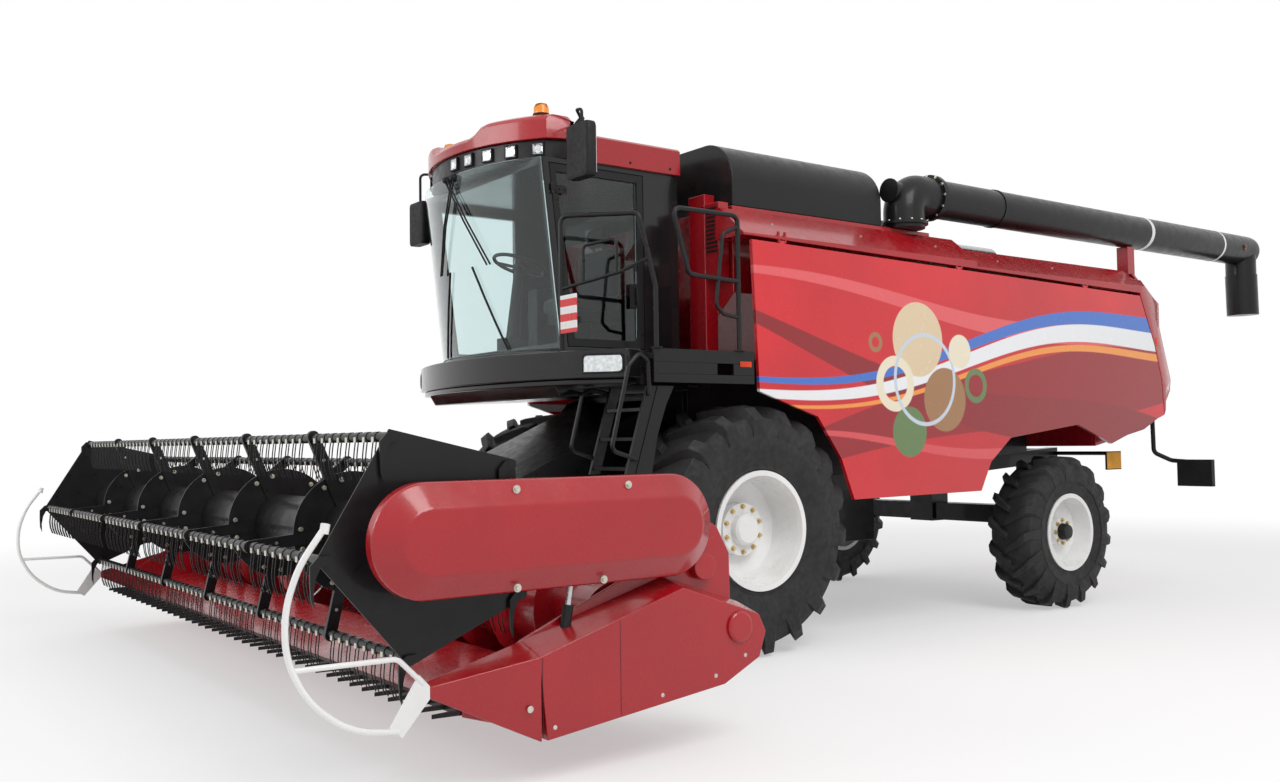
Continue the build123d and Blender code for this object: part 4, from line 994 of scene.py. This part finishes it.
LADDER_SIDE = [(-0.90, 1.93), (-0.76, 1.93), (-0.83, 1.80), (-0.905, 1.60), (-0.96, 1.331), (-1.095, 1.331)]


def make_platform():
    """Deck with an upright skirt and its hole, and the board at its front."""
    deck, marks, board = Build(), Build(), Build()
    deck.block((0.90, -0.96, 2.11), (1.57, -0.06, 2.15))
    for low, high in SKIRT_PARTS:
        deck.block((1.57, *low), (1.59, *high))
    add_piece("platform_shape", deck, "black_paint", replaced=["platform"], edge=0.003)
    marks.block((1.59, -0.20, 2.07), (1.596, -0.09, 2.11))
    add_piece("platform_reflector", marks, "red_paint", finishes=["red_lens"], edge=0.002)
    board.block((1.05, -1.352, 2.30), (1.25, -1.347, 2.56))
    add_piece("warning_board", board, "white_paint", finishes=["stripes"])


def make_ladder():
    """Ladder that leans forward at its foot, with a looped rail on each side."""
    build = Build()
    for x in STRINGERS_X:
        build.prism("x", STRINGER, x - 0.012, x + 0.012)
    for share in (0.1, 0.42, 0.74):
        y, z = -1.17 + 0.185 * share, 1.31 + 0.62 * share
        build.block((STRINGERS_X[0], y + 0.005, z - 0.012), (STRINGERS_X[1], y + 0.175, z + 0.012))
    for (x, loop), stringer in zip(LADDER_LOOPS, STRINGERS_X):
        build.pipe([(x, *point) for point in loop], 0.05, 0.015)
        for point in (loop[0], loop[-1]):
            build.tube([at(x, *point), at(stringer, *point)], 0.011, 10)
    build.prism("x", LADDER_SIDE, 1.541, 1.549)
    add_piece("ladder_shape", build, "black_paint", replaced=["ladder"], edge=0.002)


def make_handrails():
    """Bent guard rails on round feet."""
    build = Build()
    for bend, radius, corners in GUARD_RAILS:
        build.pipe(corners, bend, radius, 14)
    for x, y in RAIL_FEET:
        build.turned(at(x, y, DECK_TOP), UP, [(0, 0.04), (0.008, 0.04), (0.01, 0.02)], 20)
    add_piece("handrails_shape", build, "black_paint", replaced=["handrails"])


MIRRORS = ((1, 1.25, 3.535, 0.25, 0.37), (-1, 1.215, 3.42, 0.23, 0.36))  # side, x, z, width, height
MIRROR_Y = -1.29
MIRROR_BRACKET = [
    (0.93, 3.60), (0.93, 3.69), (0.94, 3.79), (1.06, 3.842), (1.08, 3.82), (0.965, 3.69), (0.965, 3.60),
]


def make_mirrors():
    """Rounded heads on thin bent arms, with the glass at the rear."""
    heads, glass = Build(), Build()
    for side, x, z, wide, high in MIRRORS:
        heads.prism("y", [(side * a, b) for a, b in MIRROR_BRACKET], -1.17, -1.15)
        arm = [(1.045, -1.16, 3.828), (x - 0.06, MIRROR_Y, 3.832), (x, MIRROR_Y, 3.825)]
        heads.pipe([*arm, (x, MIRROR_Y, z + high / 2 - 0.01)], 0.03, 0.011, 12, side)
        foot = at(side * x, MIRROR_Y, 0)
        ring = rounded([foot + Vector((a * wide / 2, b * 0.045, 0)) for a, b in CORNERS], 0.035)
        levels = ((0, 0.9), (0.012, 0.97), (0.03, 1.0), (high - 0.03, 1.0), (high - 0.012, 0.97), (high, 0.9))
        low = UP * (z - high / 2)
        heads.rings([[foot + (p - foot) * k + low + UP * rise for p in ring] for rise, k in levels])
        half, rise = wide * 0.42, high * 0.43
        glass.block((x - half, -1.2455, z - rise), (x + half, -1.243, z + rise), side)
    add_piece("mirror_heads", heads, "black_plastic", replaced=["mirrors"])
    add_piece("mirror_glass", glass, "black_plastic", finishes=["chrome"])


# ---- Body: hood, shoulders, seams, engine and unloader ----
HOOD = [  # (y, z) round the rear hood's side
    (4.30, 1.45), (4.30, 3.17), (5.08, 3.14), (5.48, 2.86), (5.48, 2.62), (5.66, 2.10), (5.64, 1.99),
    (5.45, 1.73), (5.14, 1.60),
]
CHEEK_FOOT = [
    (4.985, 3.074), (4.985, 2.905), (5.213, 2.432), (5.323, 2.091), (5.353, 1.745), (5.445, 1.738),
    (5.636, 1.995), (5.655, 2.10), (5.476, 2.618), (5.476, 2.85), (5.165, 3.074),
]
CHEEK_FACE = [
    (4.985, 2.993), (4.985, 2.905), (5.213, 2.432), (5.323, 2.091), (5.353, 1.745), (5.378, 1.79),
    (5.395, 1.99), (5.39, 2.11), (5.265, 2.56), (5.17, 2.80), (5.075, 2.993),
]
HOOD_HALF, HOOD_SIDE, PANEL_HALF = 1.39, 1.47, 1.50  # half width of the skin, its side and the panels
HOOD_FRONT, BULKHEAD = 4.30, 4.312
SHOULDER_FOOT, SHOULDER_REAR = 3.077, 4.985
LAMP_ARM = [(1.45, 5.38, 1.72), (1.45, 5.39, 1.37), (1.58, 5.48, 1.29), (1.73, 5.48, 1.28)]


def make_hood():
    """Rear hood: its skin, the sloping strips at the top, and a cheek flush with each panel."""
    build = Build()
    inner = [(y - 0.035, z - 0.01) for y, z in reversed(HOOD[2:])]
    build.prism("x", [*HOOD[1:], *inner, (HOOD_FRONT, 3.135)], -HOOD_HALF, HOOD_HALF)
    build.block((-HOOD_HALF, HOOD_FRONT, 2.72), (HOOD_HALF, BULKHEAD, 3.15))
    strip = [(HOOD_HALF, 3.17), (PANEL_HALF, SHOULDER_FOOT), (HOOD_SIDE, 3.06), (HOOD_HALF, 3.13)]
    for side in (1, -1):
        build.block((0.70, HOOD_FRONT, 1.45), (HOOD_SIDE, BULKHEAD, 2.74), side)
        build.prism("x", [(y, min(z, SHOULDER_FOOT)) for y, z in HOOD], side * HOOD_SIDE, side * PANEL_HALF)
        build.prism("y", [(side * x, z) for x, z in strip], HOOD_FRONT, 5.035)
        build.prism("x", [(y, min(z, 3.15)) for y, z in HOOD[2:] + inner], side * 1.385, side * 1.475)
        build.prism("x", CHEEK_FOOT, side * 1.499, side * 1.598, far=CHEEK_FACE)
    build.block((1.23, 5.20, 2.99), (1.35, 5.32, 3.434))
    add_piece("hood_shape", build, "red_paint", replaced=["rear_hood"], edge=0.006)


def make_rear_lamps():
    """Lamp boxes on their arms, round lamps, side markers and the blank plate."""
    boxes, marks, plate, bracket = Build(), Build(), Build(), Build()
    for side in (1, -1):
        boxes.pipe(LAMP_ARM, 0.07, 0.022, 12, side)
        boxes.block((1.65, 5.45, 1.04), (2.0, 5.51, 1.30), side)
        for x in (1.71, 1.82, 1.93):
            marks.turned(at(side * x, 5.51, 1.17), (0, 1, 0), [(0, 0.045), (0.008, 0.042), (0.012, 0.03)], 24)
        marks.block((1.59, 5.225, 2.42), (1.5995, 5.262, 2.50), side)
        boxes.turned(at(side * 1.30, 5.63, 2.16), (0, 1, 0), [(0, 0.05), (0.05, 0.05), (0.07, 0.035)], 20)
    add_piece("rear_lamp_boxes", boxes, "black_plastic", edge=0.006)
    plate.block((1.284, 4.83, 1.22), (1.287, 5.07, 1.38))
    bracket.block((1.27, 4.82, 1.21), (1.284, 5.08, 1.39))
    bracket.tube([at(0.60, 4.95, 1.37), at(1.275, 4.95, 1.37)], 0.02, 12)
    add_piece("blank_plate", plate, "amber", finishes=["amber_plate"])
    add_piece("plate_bracket", bracket, "black_paint", edge=0.002)
    add_piece("rear_lamps", marks, "red_paint", finishes=["red_lens"])


HINGE_LINE = ((-0.07, 3.003), (4.97, 2.908))  # (y, z) of the ends of the panels' hinge line
STEP_Y = 2.48  # where the shoulders step down


def hinge_z(y):
    (y_front, z_front), (y_rear, z_rear) = HINGE_LINE
    return z_front + (z_rear - z_front) * (y - y_front) / (y_rear - y_front)


def make_shoulders():
    """Strips that close the gap over the side panels, the rails' length over the hood, and their bolts."""
    build, marks = Build(), Build()
    section = [(PANEL_HALF, 3.078), (1.60, 2.992), (1.60, 2.975), (PANEL_HALF, 2.975)]
    for side in (1, -1):
        for start, end, base in ((-0.15, STEP_Y, 3.025), (STEP_Y, SHOULDER_REAR, 2.98)):
            skirt = [(start, base), (end, base), (end, hinge_z(end) + 0.017), (start, hinge_z(start) + 0.017)]
            build.prism("x", skirt, side * 1.54, side * 1.5995)
        build.prism("y", [(side * x, z) for x, z in section], HOOD_FRONT, SHOULDER_REAR)
        for y in (0.25, 1.2, 2.1, 2.9, 3.7):
            x, z = (1.47, 3.1455) if y < STEP_Y else (1.495, 3.081)
            marks.bolt(at(side * x, y, z), (side * 0.64, 0, 0.77), 0.008, 0.008)
    add_piece("shoulder_skirts", build, "red_paint", edge=0.003)
    add_bolts("shoulder_bolts", marks)


# Engine and its pipes over the deck: finish (0 plastic, 1 steel, 2 red), bend, radius and the path's points
PIPES = [
    (1, 0.0, 0.070, [(0.48, 2.60, 2.94), (0.48, 2.60, 3.55)]),
    (0, 0.0, 0.115, [(-0.56, 3.62, 3.12), (-0.56, 3.92, 3.12)]),
    (1, 0.0, 0.100, [(0.95, 2.76, 3.22), (0.95, 3.50, 3.22)]),
    (1, 0.1, 0.040, [(0.48, 2.60, 3.22), (0.70, 2.72, 3.24), (0.95, 2.80, 3.22)]),
    (0, 0.08, 0.028, [(0.20, 3.40, 3.40), (0.70, 3.50, 3.36), (1.10, 3.65, 3.10), (1.15, 3.90, 2.95)]),
    (0, 0.08, 0.022, [(0.10, 3.20, 3.42), (0.62, 3.25, 3.40), (1.08, 3.40, 3.10), (1.15, 3.60, 2.95)]),
    (2, 0.0, 0.060, [(1.05, 3.75, 3.06), (1.05, 4.10, 3.06)]),
]


def make_engine_pipes():
    """Plastic air pipes, steel exhaust pipes and a red tank over the deck."""
    builds = (Build(), Build(), Build())
    for kind, bend, radius, path in PIPES:
        builds[kind].pipe(path, bend, radius, 16)
    add_piece("air_pipes", builds[0], "black_plastic")
    add_piece("exhaust_pipes", builds[1], "bare_steel")
    add_piece("engine_tank", builds[2], "red_paint")


UNLOADER_X, UNLOADER_SWING_Y, UNLOADER_Z = 1.29, 1.93, 3.60
ELBOW_BEND, FLANGE, FLANGE_Y = 0.16, 0.197, 0.305
TUBE_RADIUS, TUBE_START = 0.165, 0.331
UNLOADER_AT = at(UNLOADER_X, UNLOADER_SWING_Y, UNLOADER_Z)


def make_elbow():
    """Elbow with bolted flanges."""
    elbow, bolts = Build(), Build()
    spot = UNLOADER_AT
    path = [Vector((spot.x, spot.y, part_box("unloader_elbow")[0].z + 0.001))]
    for step in range(13):
        turn = radians(90) * step / 12
        path.append(spot + ELBOW_BEND * Vector((0, 1 - cos(turn), sin(turn) - 1)))
    elbow.tube([*path, spot + Vector((0, 0.33, 0))], 0.172, 40)
    for place, axis in ((Vector((0, 0, -0.27)), UP), (Vector((0, FLANGE_Y, 0)), (0, 1, 0))):
        elbow.turned(spot + place, axis, [(0, 0.175), (0, FLANGE), (0.024, FLANGE), (0.024, 0.175)], 48)
    cap = [(0, 0.08), (0.19, 0.08), (0.19, 0.10), (0.205, 0.10)]
    elbow.turned(spot + Vector((0, 0.02, 0.01)), (0, -1, 0), cap, 32)
    add_piece("elbow_shape", elbow, "black_paint", "unloader", ["unloader_elbow"])
    for ring in circle(Vector(), Vector((0, -1, 0)), Vector((1, 0, 0)), 0.186, 12):
        bolts.bolt(spot + Vector((0, FLANGE_Y, 0)) + ring, (0, -1, 0), 0.009, 0.010)
        bolts.bolt(spot + Vector((ring.x, ring.z, -0.246)), UP, 0.009, 0.010)
    add_bolts("elbow_bolts", bolts, "unloader")


def make_unloading_tube():
    """Tube with its bands and lamp, and the rubber spout at its end."""
    tube, bands, lamp = Build(), Build(), Build()
    spot = UNLOADER_AT
    low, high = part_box("unloader_tube")
    end = high.y - spot.y
    outline = [
        (TUBE_START, FLANGE), (0.353, FLANGE), (0.353, TUBE_RADIUS), (1.17, TUBE_RADIUS), (1.17, 0.172),
        (1.20, 0.172), (1.20, TUBE_RADIUS), (end - 0.13, TUBE_RADIUS), (end - 0.08, 0.158),
        (end - 0.03, 0.115), (end - 0.008, 0.05),
    ]
    tube.turned(spot, (0, 1, 0), outline)
    mouth = spot + Vector((0, end - 0.20, 0))
    tube.tube([mouth, mouth - 0.30 * UP], 0.156, 40)
    tube.tube([mouth - 0.28 * UP, Vector((mouth.x, mouth.y + 0.012, low.z + 0.002))], 0.163, 40)
    add_piece("tube_shape", tube, "black_paint", "unloader", ["unloader_tube"])
    for start, wide, radius in ((3.56, 0.05, 0.167), (5.0, 0.03, 0.1675)):
        outline = [(start, 0.16), (start, radius), (start + wide, radius), (start + wide, 0.16)]
        bands.turned(spot, (0, 1, 0), outline)
    add_piece("tube_bands", bands, "white_paint", "unloader")
    outline = [(0, 0.035), (0.008, 0.034), (0.010, 0.02)]
    lamp.turned(spot + Vector((0.164, end - 0.42, 0)), (1, 0, 0), outline, 20)
    add_piece("tube_lamp", lamp, "amber", "unloader")


def make_cabinet():
    """The upper parts of the red cabinet behind the cab, with a louvred vent in its front."""
    cabinet = Build()
    cabinet.block((0.92, -0.10, 3.30), (1.11, -0.0005, 3.40))
    cabinet.block((1.11, -0.098, 2.76), (1.27, -0.0005, 3.32))
    add_piece("cabinet", cabinet, "red_paint", edge=0.006)
    vent = Build()
    for row in range(11):
        z = 2.95 + 0.032 * row
        vent.block((1.13, -0.106, z), (1.25, -0.100, z + 0.016))
    add_piece("cabinet_vent", vent, "black_plastic", edge=0.001)


# ---- Header ----
SHEET_IN, SHEET_OUT = 3.075, 3.25
SHEET_EDGE = [
    (-3.2, 0.33), (-3.2, 0.47), (-2.9, 0.64), (-2.25, 0.90), (-1.96, 1.17), (-1.80, 1.17), (-1.69, 1.10),
    (-1.61, 0.96), (-1.60, 0.43), (-1.80, 0.32), (-2.85, 0.22),
]
SHIELD_FOOT = [
    (-2.90, 0.640), (-2.86, 0.205), (-1.80, 0.32), (-1.56, 0.43), (-1.515, 0.56), (-1.56, 0.70),
    (-2.06, 0.872),
]
SHIELD_FACE = [
    (-2.90, 0.585), (-2.86, 0.205), (-1.80, 0.32), (-1.56, 0.43), (-1.515, 0.56), (-1.56, 0.65),
    (-2.06, 0.828),
]
NOSE_REAR = [(SHEET_IN, 0.204), (SHEET_OUT, 0.204), (SHEET_OUT, 0.586), (SHEET_IN, 0.640)]
NOSE_TIP = [(SHEET_IN, 0.45), (SHEET_IN + 0.06, 0.45), (SHEET_IN + 0.06, 0.50), (SHEET_IN, 0.512)]
SHIELD_BOLTS = ((-2.82, 0.26), (-1.86, 0.37), (-1.66, 0.45), (-2.95, 0.36), (-2.2, 0.32))
SHIELD_SEAMS = ((-2.885, 0.222, 0.579335), (-2.45, 0.25928, 0.70505))  # y, and z of the ends
DIVIDER_X = 3.13
DIVIDER_BOW = [  # (y, z)
    (-3.535, 0.33), (-3.74, 0.36), (-3.93, 0.50), (-4.03, 0.70), (-4.03, 0.90), (-3.97, 1.07), (-3.86, 1.22),
]
DIVIDER_STAY = [(-4.00, 0.645), (-3.54, 0.64), (-3.42, 0.52)]
DIVIDER_PLATE = [(-3.39, 0.45), (-3.39, 0.505), (-3.44, 0.56), (-3.58, 0.345), (-3.52, 0.302)]


def make_shields():
    """Folded outer shields with a drawn-out nose, bosses, seams and their bolts."""
    for side, word in SIDES:
        build, trim, seams = Build(), Build(), Build()
        out = (side, 0, 0)
        build.prism("x", SHEET_EDGE, side * 3.0605, side * SHEET_IN)
        build.prism("x", SHIELD_FOOT, side * (SHEET_IN - 0.001), side * (SHEET_OUT - 0.001), far=SHIELD_FACE)
        rear, tip = [[(side * x, z) for x, z in outline] for outline in (NOSE_REAR, NOSE_TIP)]
        build.prism("y", rear, -2.89, -3.39, far=tip)
        if side > 0:
            build.turned(at(3.245, -1.70, 0.60), out, [(-0.02, 0.082), (0.018, 0.080), (0.026, 0.068)], 36)
        build.turned(at(side * SHEET_IN, -1.815, 0.905), out, [(0, 0.07), (0.05, 0.07), (0.05, 0.05)], 36)
        add_piece(f"shield_{word}", build, "red_paint", "header", [f"end_sheet_{word}"], edge=0.006)
        for y, z in SHIELD_BOLTS:
            trim.bolt(at(side * 3.2485, y, z), out, 0.011, 0.0012)
        for y, low, high in SHIELD_SEAMS:
            seams.block((3.2485, y - 0.0015, low), (3.2495, y + 0.0015, high), side)
        add_piece(f"shield_seams_{word}", seams, "black_paint", "header")
        add_bolts(f"shield_trim_{word}", trim, "header")


def make_dividers():
    """White bows over the noses, each with a stay and a flat nose plate."""
    build = Build()
    for side in (1, -1):
        build.pipe([(DIVIDER_X, y, z) for y, z in DIVIDER_BOW], 0.5, 0.014, 14, side, 14)
        build.pipe([(DIVIDER_X, y, z) for y, z in DIVIDER_STAY], 0.06, 0.012, 12, side)
        build.prism("x", DIVIDER_PLATE, side * DIVIDER_X - 0.006, side * DIVIDER_X + 0.006)
        ball = [(-0.03, 0.02), (0.012, 0.02), (0.014, 0.012)]
        build.turned(at(side * DIVIDER_X, -3.86, 1.222), (0, 0.2, 1), ball, 16)
    add_piece("divider_bows", build, "white_paint", "header", ["crop_dividers"])


AUGER_AT, AUGER_HALF, AUGER_RADIUS, AUGER_TUBE, AUGER_PITCH = (-2.33, 0.665), 3.04, 0.308, 0.20, 0.46
FLIGHT_START, FLIGHT_END, FLIGHT_STEPS = 3.0, 0.62, 150
FINGERS = 16


def make_auger():
    """Tube with a helical flight on each side, and fingers between them."""
    build, fingers = Build(), Build()
    build.turned(at(-AUGER_HALF, *AUGER_AT), (1, 0, 0), [(0, AUGER_TUBE), (2 * AUGER_HALF, AUGER_TUBE)])
    build.tube([at(-3.07, *AUGER_AT), at(3.07, *AUGER_AT)], 0.03, 16)
    for side in (1, -1):
        rings = []
        for step in range(FLIGHT_STEPS + 1):
            along = (FLIGHT_START - FLIGHT_END) * step / FLIGHT_STEPS
            turn = side * 2 * pi * along / AUGER_PITCH
            out = Vector((0, cos(turn), sin(turn)))
            centre = at(side * (along - FLIGHT_START), *AUGER_AT)
            section = ((-1, AUGER_TUBE - 0.01), (-1, AUGER_RADIUS), (1, AUGER_RADIUS), (1, AUGER_TUBE - 0.01))
            rings.append([centre + Vector((0.002 * end, 0, 0)) + radius * out for end, radius in section])
        build.rings(rings)
    add_piece("auger_shape", build, "red_paint", "header_auger", ["header_auger"])
    for number in range(FINGERS):
        turn = number * radians(110)
        spot = at(-0.54 + 1.08 * number / (FINGERS - 1), *AUGER_AT)
        out = Vector((0, cos(turn), sin(turn)))
        fingers.tube([spot + 0.19 * out, spot + 0.30 * out], 0.009, 10)
        fingers.turned(spot + 0.198 * out, out, [(0, 0.024), (0.008, 0.024), (0.012, 0.014)], 14)
    add_piece("auger_fingers", fingers, "bare_steel", "header_auger")


COVER_BOLTS = ((-3.02, 0.91), (-2.55, 0.91), (-3.02, 1.35), (-2.40, 1.35))


def make_cover_trim():
    """Bolts of the chain cover on the reel's arm."""
    trim = Build()
    for y, z in COVER_BOLTS:
        trim.bolt(at(3.262, y, z), (1, 0, 0), 0.013, 0.012)
    add_bolts("cover_bolts", trim, "reel_arms")


# ---- Reel ----
REEL_DISCS = (-2.0, -0.98, 0.04, 1.06, 2.08)
REEL_TURNS = [radians(22.9 + 72 * number) for number in range(5)]
BAR_RADIUS, TINE_DROP, CLIP_PITCH, BAR_HALF = 0.021, 0.205, 0.10, 3.03
CLIPS_HALF = 29  # how many clips there are on each half of a bar
TINE_BEND = ((0, 0.0), (0.25, -0.006), (0.5, -0.010), (0.75, -0.004), (1, 0.012))  # share of the drop, back
HORN = [
    (0.026, 0.020), (-0.03, 0.020), (-0.068, -0.02), (-0.068, -0.09), (-0.064, -0.16), (-0.050, -0.20),
    (-0.052, -0.13), (-0.042, -0.07), (-0.022, -0.03), (0.022, -0.012),
]


def make_tine_bar(number):
    """Tube with a plated clip for each pair of spring tines, and a sickle horn at each end."""
    name = f"tine_bar_{number}"
    spot = pivot(f"{name}_turn")
    bar, clips, tines = Build(), Build(), Build()
    bar.tube([spot - Vector((BAR_HALF, 0, 0)), spot + Vector((BAR_HALF, 0, 0))], BAR_RADIUS, 16)
    for side in (1, -1):
        bar.prism("x", [(spot.y - AXLE_Y + y, spot.z + z) for y, z in HORN], side * 3.018, side * 3.029)
    for index in range(-CLIPS_HALF, CLIPS_HALF):
        x = CLIP_PITCH * (index + 0.5)
        if min(abs(x - disc) for disc in REEL_DISCS) < 0.03:
            continue
        clips.slab(spot + Vector((x - 0.013, -0.0245, -0.0245)), spot + Vector((x + 0.013, 0.0215, 0.0)))
        tines.tube([spot + Vector((x - 0.022, 0, 0)), spot + Vector((x + 0.022, 0, 0))], 0.0245, 10)
        for side in (-0.018, 0.018):
            root = spot + Vector((x + side, -0.012, -0.018))
            path = [root + Vector((0, back, -share * (TINE_DROP - 0.020))) for share, back in TINE_BEND]
            tines.tube(path, 0.0032, 5)
    add_piece(f"{name}_tube", bar, "black_paint", name, [name])
    add_bolts(f"{name}_clips", clips, name)
    add_piece(f"{name}_tines", tines, "black_paint", name)


def make_reel_trim():
    """Bolts that clamp the spiders to the reel's discs."""
    spot = pivot("reel_spin")
    trim = Build()
    for x in REEL_DISCS:
        for turn in REEL_TURNS:
            out, aside = Vector((0, -sin(turn), cos(turn))), Vector((0, -cos(turn), -sin(turn)))
            for radius, shift in ((0.27, 0.05), (0.27, -0.05), (0.40, 0.0)):
                for side in (1, -1):
                    place = Vector((x + side * 0.007, spot.y, spot.z)) + radius * out + shift * aside
                    trim.bolt(place, (side, 0, 0), 0.009, 0.009)
    add_bolts("reel_bolts", trim, "reel")


# ---- The whole ----
ROUNDED = {  # the width and segments of the rounding of CAD nodes' edges
    "side_panel_left": (0.008, 2),
    "side_panel_right": (0.008, 2),
    "grain_tank": (0.008, 2),
    "tank_cover": (0.008, 2),
    "shoulder_rails": (0.008, 2),
    "header_frame": (0.008, 2),
    "engine_deck": (0.008, 2),
    "threshing_body": (0.008, 2),
    "chain_cover": (0.012, 3),
    "feeder_house": (0.006, 2),
}

add_camera()
add_world()
add_floor()
for lamp in LAMPS:
    add_area(*lamp)
dress_nodes()
make_wheels()
for node, (width, segments) in ROUNDED.items():
    round_edges(node, width, segments)
make_roof()
make_visor()
make_beacons()
make_fascia()
make_cab_trim()
make_cab_inside()
make_platform()
make_ladder()
make_handrails()
make_mirrors()
make_hood()
make_rear_lamps()
make_shoulders()
make_engine_pipes()
make_elbow()
make_unloading_tube()
make_cabinet()
make_shields()
make_dividers()
make_auger()
make_cover_trim()
for number in range(1, 6):
    make_tine_bar(number)
make_reel_trim()

scene = bpy.context.scene
scene.view_settings.view_transform = "Standard"
